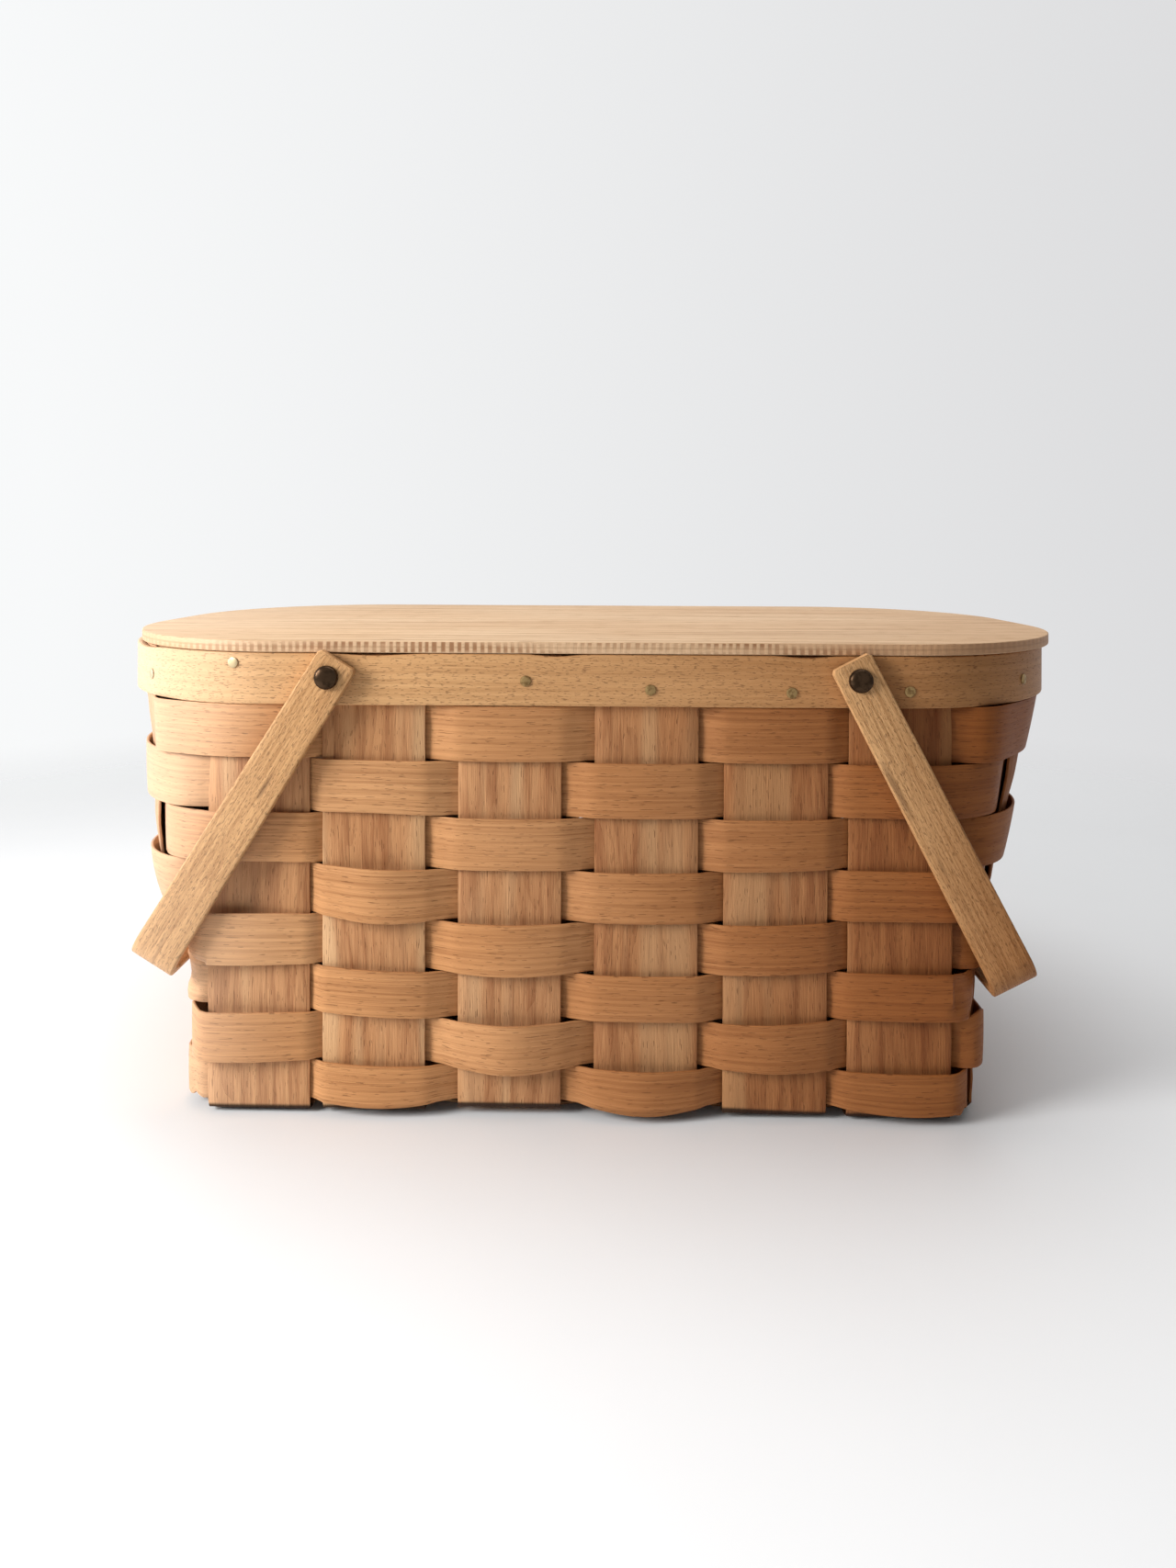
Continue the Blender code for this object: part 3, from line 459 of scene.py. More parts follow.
# %% A finish and its nodes
class Finish:
    """One node material with its shader."""

    def __init__(self, name):
        self.material = bpy.data.materials.new(name)
        self.material.use_nodes = True
        self.tree = self.material.node_tree
        self.shader = self.tree.nodes["Principled BSDF"]

    def node(self, kind, settings=None, values=None, output=0):
        """A node of one type, its settings first, then the values or links of its sockets."""
        made = self.tree.nodes.new(kind)
        for key, value in (settings or {}).items():
            setattr(made, key, value)
        for key, value in (values or {}).items():
            self.put(made.inputs[key], value)
        return Signal(self, made.outputs[output])

    def put(self, socket, value):
        if isinstance(value, Signal):
            self.tree.links.new(value.socket, socket)
        elif isinstance(value, tuple) and len(value) == 3 and socket.type == "RGBA":
            socket.default_value = (*value, 1.0)
        else:
            socket.default_value = value

    def math(self, operation, a, b=0.0):
        return self.node("ShaderNodeMath", {"operation": operation}, {0: a, 1: b})

    def noise(self, x, y, detail=2.0, roughness=0.5, piece=0.0):
        spot = self.node("ShaderNodeCombineXYZ", {}, {0: x, 1: y, 2: piece})
        return self.node("ShaderNodeTexNoise", {"noise_dimensions": "3D"}, {
            "Vector": spot, "Scale": 1.0, "Detail": detail, "Roughness": roughness})

    def mottle(self, scale):
        """Noise in the whole space of the basket."""
        return self.node("ShaderNodeTexNoise", {}, {
            "Vector": self.spot(), "Scale": scale, "Detail": 3.0})

    def between(self, value, low, high):
        """0 below low and 1 above high, with a soft step."""
        return self.node("ShaderNodeMapRange", {"interpolation_type": "SMOOTHSTEP"},
                         {0: value, 1: low, 2: high, 3: 0.0, 4: 1.0})

    def mix(self, share, a, b, blend="MIX"):
        return self.node("ShaderNodeMix", {"data_type": "RGBA", "blend_type": blend},
                         {0: share, 6: a, 7: b}, output=2)

    def paint(self, colour, roughness):
        self.put(self.shader.inputs["Base Color"], colour)
        self.put(self.shader.inputs["Roughness"], roughness)

    def dent(self, height, distance):
        """A bump that feeds the shader's Normal."""
        self.put(self.shader.inputs["Normal"], self.node(
            "ShaderNodeBump", {}, {"Height": height, "Strength": 1.0, "Distance": distance}))

    def split(self, vector):
        """X, Y and Z of a vector, each as a number."""
        made = self.node("ShaderNodeSeparateXYZ", {}, {0: vector}).socket.node
        return [Signal(self, socket) for socket in made.outputs]

    def spot(self):
        """The place on the basket at rest, in metres."""
        return self.node("ShaderNodeTexCoord", output="Object")

    def grain_place(self):
        """Distance along and across the wood, in metres, from the flat strip."""
        return self.split(self.node("ShaderNodeUVMap", {"uv_map": "grain"}))[:2]


# %% [markdown]
# The left end of the basket is painted paler, towards cream: painted light, where the window
# light falls strongest. The right end is painted darker and redder, and so is the grip of the
# right handle: painted shade, away from the window. The foot is painted dark along its outer
# edge: a painted shadow where the basket meets the table. In the middle the bends of stakes
# are lifted a little, and the painted shadow reaches as much higher there. Each splint could
# have its own shade, but these marks belong to the whole basket, so they are painted by the
# place on the basket and run on from splint to splint.

# %% Painted light and shade along the basket
SHADED_TINT = (0.475, 0.300, 0.160)
SHADE_SPAN = (-0.16, 0.22)
LIT_TINT = (0.97, 0.79, 0.61)
LIT_SPAN = (-0.25, -0.12)


def light_and_shade(finish, colour, side, shade_share, painted_shade_span, lit_share):
    # Painted shade: towards the right end the colour is made darker and redder, away from the
    # window.
    shaded = finish.between(side, *painted_shade_span)
    colour = finish.mix(shaded * shade_share, colour, SHADED_TINT, "MULTIPLY")
    # Painted light: towards the left end the colour is made paler, where the window light is
    # strongest.
    lit = 1 - finish.between(side, *LIT_SPAN)
    return finish.mix(lit * lit_share, colour, LIT_TINT)


# %% Painted shadow at the foot
FOOT_SHADOW = (0.022, 0.010, 0.006)
FOOT_SHADOW_HEIGHT = (0.0030, 0.0050)
LIFTED_RISE = 0.0026
LIFTED_MIDDLE = -0.008
LIFTED_SPAN = (0.04, 0.13)
FOOT_SHADOW_END = (0.180, 0.184)
FOOT_SHADOW_SIDE = (0.1445, 0.1475)


def foot_shadow_painted(finish, colour, side, depth, height, foot_shade_share):
    lifted = 1 - finish.between(finish.math("ABSOLUTE", side - LIFTED_MIDDLE), *LIFTED_SPAN)
    low = 1 - finish.between(height - lifted * LIFTED_RISE, *FOOT_SHADOW_HEIGHT)
    edge = finish.math("MAXIMUM", finish.between(finish.math("ABSOLUTE", side), *FOOT_SHADOW_END),
                       finish.between(finish.math("ABSOLUTE", depth), *FOOT_SHADOW_SIDE))
    # Painted shadow: the outer edge of the foot is darkened nearly to black, where the basket meets
    # the table.
    return finish.mix(low * edge * foot_shade_share, colour, FOOT_SHADOW)


# %% [markdown]
# All the wood is one kind of finish with different measures. Along the strip run growth lines,
# soft streaks, fine fibres and short dark pores, and the stakes hold pale bands of sapwood. A
# picture of wood would repeat itself and fit one scale only; noise drawn out along the strip does
# neither. Numbers scale the noise in cycles per metre, far fewer along the wood than across it.

# %% Wood finish
SAPWOOD = (0.72, 0.47, 0.26)
TONED = (0.80, 0.66, 0.50)
WOOD_SHINE = 0.15


def wood(name, pale, deep, dark, drift=0.004, lines=(430, 3.0, 26, 5.0), line_share=0.34,
         streak=(9, 640), streak_share=0.42, fibre=(42, 2300), fibre_share=0.55,
         pore=(150, 1900), pore_limit=0.68, pore_share=0.5, stain_limit=0.75, tone_share=0.30,
         sapwood=0.0, foot_shade_share=0.0, shade_share=1.0, painted_shade_span=SHADE_SPAN, lit_share=0.42,
         roughness=0.5, relief=0.00014, place=Finish.grain_place):
    finish = Finish(name)
    u, v = place(finish)
    bent = v + (finish.noise(u * 6, v * 16, 1) - 0.5) * drift
    tone = finish.between(finish.noise(u * 6, v * 9, 1), 0.34, 0.66)
    count, along, across, swing = lines
    wander = finish.noise(u * along, bent * across, 2, 0.5, 3.7)
    line = finish.math("FRACT", bent * count + wander * swing) ** 2.2
    line = line * finish.between(finish.noise(u * 5, v * 60, 1, 0.5, 6.2), 0.30, 0.66)
    streaks = finish.between(finish.noise(u * streak[0], bent * streak[1], 3, 0.62), 0.34, 0.68)
    fibres = finish.noise(u * fibre[0], bent * fibre[1], 3, 0.65)
    pores = finish.between(finish.noise(u * pore[0], bent * pore[1], 1, 0.5, 9.1),
                           pore_limit, pore_limit + 0.05)
    stains = finish.between(finish.noise(u * 16, v * 75, 2, 0.6, 5.3),
                            stain_limit, stain_limit + 0.08)
    share = streaks * streak_share + line * line_share + (fibres - 0.5) * fibre_share
    colour = finish.mix(share, pale, deep)
    if sapwood:
        bands = finish.between(finish.noise(u * 3, bent * 48, 2, 0.5, 7.9), 0.50, 0.64)
        colour = finish.mix(bands * sapwood, colour, SAPWOOD)
    colour = finish.mix(tone * tone_share, colour, TONED, "MULTIPLY")
    colour = finish.mix(pores * pore_share, colour, dark)
    colour = finish.mix(stains * 0.55, colour, dark)
    side, depth, height = finish.split(finish.spot())
    # Painted light at the left end and painted shade at the right end.
    colour = light_and_shade(finish, colour, side, shade_share, painted_shade_span, lit_share)
    # Painted shadow along the outer edge of the foot.
    if foot_shade_share:
        colour = foot_shadow_painted(finish, colour, side, depth, height, foot_shade_share)
    finish.paint(colour, fibres * 0.12 + pores * 0.2 + (roughness - 0.06))
    finish.dent(fibres * 0.7 + streaks * 0.3 + line * 0.3 - pores * 0.8, relief)
    finish.shader.inputs["Specular IOR Level"].default_value = WOOD_SHINE
    return finish.material


# %% [markdown]
# The weavers are split thin along the grain, so they show fine, close fibres. The stakes are
# wider and rougher, with broad streaks. They could share one wood, but then the squares that
# show between the weavers would not stand out from them, as they do on the real basket.

# %% Woods of the weave
weaver_wood = wood("weaver_splint", (0.67, 0.356, 0.160), (0.32, 0.130, 0.046),
                   (0.12, 0.045, 0.018), lines=(300, 3.0, 30, 6.0), line_share=0.26,
                   streak=(7, 640), streak_share=0.44, fibre=(50, 2900), fibre_share=0.90,
                   pore_limit=0.66, tone_share=0.55, foot_shade_share=0.2)
stake_wood = wood("stake_splint", (0.63, 0.336, 0.160), (0.31, 0.120, 0.047),
                  (0.13, 0.045, 0.018), drift=0.012, lines=(130, 6.0, 34, 10.0),
                  line_share=0.26, streak=(15, 190), streak_share=0.62, fibre=(70, 1500),
                  fibre_share=0.95, sapwood=0.70, foot_shade_share=0.95, tone_share=0.5, shade_share=0.84,
                  lit_share=0.30, roughness=0.6, relief=0.00040)
print("weave:", weaver_wood.name, stake_wood.name)

# %% [markdown]
# The bands and the handles are thicker and smoother, and show more short dark pores than the
# splints do. One wood for both would be quicker, but the band is the paler and quieter of the
# two, and on the handles the painted shade falls only on the grip of the right one, away from
# the window.

# %% Woods of the rim and the handles
rim_wood = wood("rim_wood", (0.73, 0.430, 0.203), (0.45, 0.226, 0.086), (0.14, 0.060, 0.024),
                lines=(260, 1.5, 20, 3.0), line_share=0.16, streak=(8, 460), streak_share=0.40,
                fibre=(60, 1900), fibre_share=0.75, pore=(330, 1900), pore_limit=0.62,
                pore_share=0.48, tone_share=0.28, shade_share=0.70, roughness=0.45)
# Painted shade only on the grip of the right handle, away from the window.
handle_wood = wood("handle_wood", (0.70, 0.408, 0.190), (0.36, 0.165, 0.057),
                   (0.11, 0.045, 0.018), lines=(300, 2.4, 40, 6.0), line_share=0.22,
                   streak=(30, 700), streak_share=0.60, fibre=(150, 1900), fibre_share=1.15,
                   pore=(420, 1900), pore_limit=0.60, pore_share=0.45, stain_limit=0.69,
                   shade_share=0.78, painted_shade_span=(0.12, 0.215), lit_share=0.22, roughness=0.48)
print("nodes in the handle's wood:", len(handle_wood.node_tree.nodes))


# %% [markdown]
# A weaver passes over one stake and under the next, and the row below it the other way about.
# At a corner of the basket it keeps outside for most of the way in the upper rows, and turns in
# early in the low ones, where the corner is tight. A zigzag from stake to stake would look
# folded, so the way out and in is a soft step, and where it dives is worked out beforehand.

# %% Where the weavers dive
CORNER_STAKES = (0, 6, 11, 17)
CORNER_REACH = (0.93, 0.80, 0.72, 0.66, 0.62, 0.46, 0.60, 0.34)


def dives(row):
    """Where a weaver crosses from one side of the stakes to the other, before each stake."""
    places = []
    for index, (start, _) in enumerate(STAKE_TURNS):
        before = STAKE_TURNS[index - 1][1] - (GIRTH if index == 0 else 0)
        outside_before = (index - 1 + row) % 2 == 0
        share = 0.5
        if index in CORNER_STAKES:
            share = CORNER_REACH[row] if outside_before else 1 - CORNER_REACH[row]
        places.append(before + (start - before) * share)
    return places


DIVES = [dives(row) for row in range(ROWS)]


def weaver_lift(turn, row):
    """The stake a weaver is at, how far it is out of the wall's middle, its bow, and in a
    corner the share of the way from where it dives to the stake."""
    marks = DIVES[row]
    turn %= GIRTH
    if turn > GIRTH + marks[0]:
        turn -= GIRTH
    index = bisect_right(marks, turn) - 1
    low = marks[index]
    high = marks[index + 1] if index + 1 < len(marks) else marks[0] + GIRTH
    start, end = STAKE_TURNS[index]
    into, out_of = (turn - low) / (start - low), (high - turn) / (high - end)
    swell = sin(pi * min(1.0, max(0.0, (turn - low) / (high - low))))
    corner = 0.0
    if index in CORNER_STAKES and into < 1:
        corner = into
    elif index + 1 in (*CORNER_STAKES, len(marks)) and out_of < 1:
        corner = out_of
    return index, smooth(min(into, out_of)), swell, corner


print("the top row dives at", [round(turn, 3) for turn in DIVES[0][:4]])

# %% [markdown]
# With use the rows have settled towards the foot in the middle of the sides, and they ride up
# towards both ends, more at the left one. The rows could all be shifted by one amount, but then
# the gaps between them would not change. So each edge between two rows has its own height, and
# the widths of the rows follow from it.

# %% How the rows lie
SETTLED = (0.0006, 0.0033, 0.0030, 0.0029, 0.0018, 0.0014, 0.0011, 0.0002, 0.0)
RIDE_LEFT = (0.0, 0.0030, 0.0040, 0.0042, 0.0042, 0.0038, 0.0026, 0.0012, 0.0)
RIDE_LEFT_FROM, RIDE_LEFT_RUN = 0.045, 0.125
RIDE_RIGHT = (0.0, 0.0, 0.0025, 0.0028, 0.0020, 0.0021, 0.0010, 0.0, 0.0)
RIDE_RIGHT_FROM, RIDE_RIGHT_RUN = 0.05, 0.09


@lru_cache(maxsize=None)
def row_edges(turn):
    """Heights of the rows' edges at a place round the basket, from the foot up."""
    x = on_wall(turn, RIM_BOTTOM, 0).x
    left = smooth((-x - RIDE_LEFT_FROM) / RIDE_LEFT_RUN)
    right = smooth((x - RIDE_RIGHT_FROM) / RIDE_RIGHT_RUN)
    rides = [left * high + right * low for high, low in zip(RIDE_LEFT, RIDE_RIGHT)]
    rides[1] *= left
    return [level - low + ride for level, low, ride in zip(levels, SETTLED, rides)]


print("edges at the front's left end:", [round(edge, 4) for edge in row_edges(0.0)])


# %% [markdown]
# The splint is too stiff to lie flat on a stake, so it bows away from it, most in the low rows,
# and some crossings are slacker than others and sag. Where a handle's crossbar rests against an
# end, the weavers there are pressed flat. A short piece for each stake would be easier to
# shape, but its grain would stop there, so a weaver is one strip laid once round the basket.
# Its two ends meet at the middle of a stake at the back, where their faces are taken out and the
# seam is merged, so that it becomes a closed hoop.

# %% Where a crossbar rests
CONTACT = {"left": 0.0668, "right": 0.0617}
CONTACT_HALF = 0.0038
CONTACT_FADE = 0.0085


def pressed(turn, height):
    """0 where a crossbar rests against an end wall, 1 away from it."""
    _, _, side, corner = part_at(turn % GIRTH)
    if side in (0, 2) and not corner:
        return 1.0
    contact = CONTACT["right" if side + corner in (1, 2) and side < 2 else "left"]
    return smooth((abs(height - contact) - CONTACT_HALF) / CONTACT_FADE)


print("free of the crossbars at the front:", pressed(FRONT_EDGES[0], CONTACT["left"]))

# %% How a weaver bows
TOP_BOW = 0.0020
BOTTOM_BOW = 0.0038
CORNER_BELLY = (0.0058, 0.0016, 0.0012, 0.0010, 0.0008, 0.0006, 0.0010, 0.0)
CORNER_RISE = {6: 0.0026}
SLACK = {(3, 1): 1.9, (4, 0): 1.5, (4, 2): 1.4, (6, 0): 1.6, (6, 2): 2.0, (6, 4): 1.3,
         (7, 3): 1.4, (7, 1): 0.8, (1, 1): 0.7, (2, 2): 0.9, (5, 3): 0.8, (3, 5): 0.8}
SAG = 0.0020
EDGE_CUP = 0.0003
FOOT_DIP = 0.0026
EDGE_WAVE = 0.0003
print("slack or tight crossings:", len(SLACK))

# %% Weavers
SPLINT_EASING = 0.00035
SPLINT_CUTS = 6
WEAVER_CUTS = 420
HOOP_SEAM = STAKE_TURNS[13][0] + HALF
SEAM_REACH = 0.00002


def make_weaver(row):
    width = levels[ROWS - row] - levels[ROWS - 1 - row] - ROW_GAP
    bow = BOTTOM_BOW + (TOP_BOW - BOTTOM_BOW) * (levels[ROWS - row] / RIM_BOTTOM)
    bm = flat_strip(GIRTH, width, SPLINT_THICKNESS, WEAVER_CUTS, SPLINT_CUTS, SPLINT_EASING)
    mark_grain(bm, wood_piece=1.7 * row)
    ends = [f for f in bm.faces if abs(f.normal.x) > 0.9]
    bmesh.ops.delete(bm, geom=ends, context="FACES_ONLY")

    def place(x, y, z):
        turn = (x + HOOP_SEAM) % GIRTH
        index, ramp, swell, corner = weaver_lift(turn, row)
        side = 1 if (index + row) % 2 == 0 else -1
        edges = row_edges(turn)
        bottom, top = edges[ROWS - 1 - row], edges[ROWS - row]
        if corner and side > 0:
            top += CORNER_RISE.get(row, 0.0) * sin(pi * corner)
        height = (bottom + top) / 2 + z * (top - bottom - ROW_GAP) / width
        height += EDGE_WAVE * noise.noise(Vector((turn * 11, row * 3.1, 0)))
        if row == ROWS - 1:
            dip = max(swell if side > 0 else 0.0, sin(pi * corner))
            height -= FOOT_DIP * dip * (0.5 - z / width) ** 2
        belly = CORNER_BELLY[row] * sin(pi * (1 - corner) ** 2) if corner and side > 0 else 0.0
        slack = 1 + (SLACK.get((row, index), 1.0) - 1) * swell
        if side > 0:
            height -= SAG * (slack - 1) * (0.5 - z / width)
        bowed = (bow * swell * slack + belly) * pressed(turn, height)
        bowed -= EDGE_CUP * swell * (2 * z / width) ** 2
        return on_wall(turn, height, side * (WEAVE_OFFSET * ramp + bowed) + y)

    bend(bm, place)
    bmesh.ops.remove_doubles(bm, verts=bm.verts, dist=SEAM_REACH)
    return finish_piece(f"weaver_{row + 1}", bm, "basket", [f"weaver_row_{row + 1}"],
                        weaver_wood)


for row in range(ROWS):
    weaver = make_weaver(row)
print("weavers:", ROWS, "faces in one:", len(weaver.data.polygons))


# %% [markdown]
# A stake is one splint that runs down a wall, turns under the bottom, crosses the stakes of the
# other direction there, and goes up the opposite wall. Three pieces butted together would be
# easier to place, but the bend at the foot is seen, so the strip is led through it. Where a
# weaver holds the stake, it gives way a little, so the squares that show between the weavers
# swell outwards. The bends of the cross stakes stand off the ground by a little, each its own way.

# %% Stakes
STAKE_TOP = RIM_TOP - 0.0006
FOOT_BEND = 0.0030
FOOT_LIFTS = (0.0004, 0.0010, 0.0026, 0.0020, 0.0012, 0.0002)
STAKE_SWELL = 0.00045
STAKE_CUTS = 220
print(f"a stake's bend takes {pi / 2 * FOOT_BEND:.4f} of its length")


def stake_wave(stake, height):
    edges = row_edges(sum(STAKE_TURNS[stake]) / 2)
    index = bisect_right(edges, height) - 1
    if not 0 <= index < ROWS:
        return 0.0
    row = ROWS - 1 - index
    side = -1 if (stake + row) % 2 == 0 else 1
    share = (height - edges[index]) / (edges[index + 1] - edges[index])
    return side * STAKE_SWELL * sin(pi * share) ** 2


def foot_bend(stake, turn, foot, angle, y):
    """A place in the quarter bend from the wall to the floor."""
    start = on_wall(turn, foot, 0)
    axis = 1 if stake < 6 or 11 <= stake < 17 else 0
    inward = Vector((0, 0, 0))
    inward[axis] = -1 if start[axis] > 0 else 1
    centre = start + inward * FOOT_BEND
    reach = FOOT_BEND + y
    return centre - inward * reach * cos(angle) - Vector((0, 0, reach * sin(angle)))


def floor_height(along, floor_reach, crossings, over, lift):
    """Height of the stake's middle at a distance along the floor."""
    marks = [(-floor_reach, lift)]
    for number, crossing in enumerate(crossings):
        swing = FLOOR_SWING if over(number) else -FLOOR_SWING
        marks += [(crossing - HALF, swing), (crossing + HALF, swing)]
    marks.append((floor_reach, lift))
    for (a, low), (b, high) in zip(marks, marks[1:]):
        if along <= b:
            return FLOOR_MIDDLE + low + (high - low) * smooth((along - a) / (b - a))
    return FLOOR_MIDDLE


# %% One stake
def make_stake(name, node, near, far, near_sign, crossings, over, half_span, lift, wood_piece):
    """near and far are the stake's numbers on its two walls, near_sign its sense on the first;
    lift is how far its bend stands off the ground."""
    near_mid = sum(STAKE_TURNS[near]) / 2
    far_mid = sum(STAKE_TURNS[far]) / 2
    foot = FLOOR_MIDDLE + FOOT_BEND + lift
    wall_run = STAKE_TOP - foot
    bend_run = pi / 2 * FOOT_BEND
    floor_reach = half_span(foot) - FOOT_BEND
    floor_run = 2 * floor_reach
    length = 2 * (wall_run + bend_run) + floor_run

    def place(x, y, z):
        for stake, turn, run in ((near, near_mid + near_sign * z, x),
                                 (far, far_mid - near_sign * z, length - x)):
            if run < wall_run:
                height = STAKE_TOP - run
                return on_wall(turn, height, y + stake_wave(stake, height))
            if run < wall_run + bend_run:
                return foot_bend(stake, turn, foot, (run - wall_run) / FOOT_BEND, y)
        share = (x - wall_run - bend_run) / floor_run
        start = foot_bend(near, near_mid + near_sign * z, foot, pi / 2, y)
        end = foot_bend(far, far_mid - near_sign * z, foot, pi / 2, y)
        spot = start.lerp(end, share)
        along = floor_reach * (2 * share - 1)
        spot.z = floor_height(along, floor_reach, crossings, over, lift) - y
        return spot

    bm = flat_strip(length, STAKE_WIDTH, SPLINT_THICKNESS, STAKE_CUTS, SPLINT_CUTS, SPLINT_EASING)
    mark_grain(bm, wood_piece)
    bend(bm, place)
    return finish_piece(name, bm, "basket", [node], stake_wood)


# %% All the stakes
stakes = {}
for i in range(len(CROSS_PLACES)):
    stakes[f"cross_{i + 1}"] = make_stake(
        f"upright_{i + 1}", f"cross_stake_{i + 1}", i, 16 - i, 1, LONG_PLACES,
        lambda j, i=i: (i + j) % 2 == 0,
        lambda foot: BOTTOM_PLAN[1] + SIDE_FLARE * foot / RIM_BOTTOM, FOOT_LIFTS[i], 20 + 1.3 * i)
for j in range(len(LONG_PLACES)):
    stakes[f"long_{j + 1}"] = make_stake(
        f"lengthwise_{j + 1}", f"long_stake_{j + 1}", 21 - j, 6 + j, -1, CROSS_PLACES,
        lambda i, j=j: (i + j) % 2 == 1,
        lambda foot: BOTTOM_PLAN[0] + flare(foot) * END_FLARE, 0.0, 40 + 1.3 * j)
print("stakes:", len(stakes))


# %% [markdown]
# Two bands clamp the stakes' ends between them. Each is one long strip with both ends cut to a
# wedge, bent once round the rim until the ends lap at the back. A ring cut from a plate would be
# simpler, but its grain would run straight on at the ends and it would show no lap. The band's top
# edge was shaved by hand, so it lies a little low in places and leaves a dark line under the lid.

# %% Lap of a band
LAP_EDGE = 0.0004
LAP_SHOULDER = 0.0010


def band_faces(run, inside, outside, lap):
    """Offsets of the band's inner and outer face at a distance along it."""
    lap_depth = outside - inside - 2 * LAP_EDGE - TOUCH_GAP

    def under_surface(share):
        return inside + LAP_EDGE + lap_depth * share

    if run < lap + LAP_SHOULDER:
        part = min(1.0, run / lap)
        step = max(0.0, (run - lap) / LAP_SHOULDER)
        return inside, under_surface(part) * (1 - step) + outside * step
    if run > GIRTH - LAP_SHOULDER:
        part = max(0.0, (run - GIRTH) / lap)
        step = max(0.0, (GIRTH - run) / LAP_SHOULDER)
        return (under_surface(part) + TOUCH_GAP) * (1 - step) + inside * step, outside
    return inside, outside


print("faces of the outer band at its thin end:",
      [round(face, 4) for face in band_faces(0.0, BAND_FACE, BAND_OUTSIDE, 0.060)])

# %% Rim bands
EDGE_DIPS = ((-0.222, 0.020), (-0.098, 0.026), (-0.012, 0.016), (0.104, 0.018))
EDGE_DIP_DEPTH = 0.0011
BAND_WAVE = 0.0002
BAND_EASING = 0.0007
BAND_CUTS, BAND_CUTS_ACROSS = 620, 3


def shaved(point):
    """How far the band's top edge lies low at a place on the front."""
    if point.y > 0:
        return 0.0
    return sum(EDGE_DIP_DEPTH * smooth(1 - abs(point.x - x) / run) for x, run in EDGE_DIPS)


def make_band(name, node, inside, outside, lap, start, wood_piece):
    thickness = outside - inside

    def place(x, y, z):
        low, high = band_faces(x, inside, outside, lap)
        offset = low + (high - low) * (y / thickness + 0.5)
        spot = on_wall(start + x, RIM_TOP, offset)
        rise = z / RIM_HEIGHT + 0.5
        wave = BAND_WAVE * noise.noise(Vector((x * 16, wood_piece, rise * 0.6)))
        top = RIM_TOP - shaved(spot) - abs(wave)
        spot.z = RIM_BOTTOM + wave * (1 - rise) + (top - RIM_BOTTOM) * rise
        return spot

    bm = flat_strip(GIRTH + lap, RIM_HEIGHT, thickness, BAND_CUTS, BAND_CUTS_ACROSS, BAND_EASING,
                    easing_steps=3)
    mark_grain(bm, wood_piece)
    bend(bm, place)
    return finish_piece(name, bm, "basket", [node], rim_wood)


outer_band = make_band("rim_outside", "outer_rim_band", BAND_FACE, BAND_OUTSIDE, 0.060,
                       STAKE_TURNS[13][0], 60)
inner_band = make_band("rim_inside", "inner_rim_band", -BAND_FACE - INNER_BAND, -BAND_FACE, 0.050,
                       STAKE_TURNS[15][0], 62)
print("bands:", outer_band.dimensions.to_tuple(4))


# %% [markdown]
# Each handle is one strip too, steamed and bent twice into a bow, and hung on two rivets. Its
# arms grow a little wider down to the grip, and the sharp corners of its two ends are taken
# off. It could be swept along a curve, but then its width could not change so simply. It is
# laid out hanging straight down first, and leans as a whole about its pivots at the end.

# %% Sizes of the handles
LID_SIDE = LID_DEPTH / 2
ARM_INSIDE = LID_SIDE + 0.0009
HANDLE_THICKNESS = 0.0046
ARM_MIDDLE = ARM_INSIDE + HANDLE_THICKNESS / 2
ARM_REACH = 0.1617
ARM_TAIL = 0.0095
ARM_WIDTH = 0.0198
GRIP_WIDTH = 0.0223
HANDLE_BEND = 0.0130
HANDLE_EASING = 0.0009
END_EASING = 0.0016
HANDLE_STEPS = 240
PIVOT_Z = RIM_BOTTOM + 0.0135
PIVOTS = {"left": (CROSS_PLACES[1] - HALF + 0.0043, 31.77),
          "right": (CROSS_PLACES[5] - HALF + 0.0031, -27.42)}

GRIP_DEPTH = ARM_REACH - HANDLE_THICKNESS / 2
ARM_STRAIGHT = GRIP_DEPTH - HANDLE_BEND
ARM_RUN, BEND_RUN = ARM_TAIL + ARM_STRAIGHT, pi / 2 * HANDLE_BEND
HANDLE_LENGTH = 2 * (ARM_RUN + BEND_RUN) + 2 * (ARM_MIDDLE - HANDLE_BEND)
print(f"a handle's strip is {HANDLE_LENGTH:.4f} long")


# %% Handles
def handle_middle(run):
    """Y, Z and turn of the strip's middle on the front half of the bow."""
    if run <= ARM_RUN:
        return -ARM_MIDDLE, ARM_TAIL - run, 0.0
    if run <= ARM_RUN + BEND_RUN:
        angle = (run - ARM_RUN) / HANDLE_BEND
        return (-ARM_MIDDLE + HANDLE_BEND * (1 - cos(angle)),
                -ARM_STRAIGHT - HANDLE_BEND * sin(angle), angle)
    return -ARM_MIDDLE + HANDLE_BEND + run - ARM_RUN - BEND_RUN, -GRIP_DEPTH, pi / 2


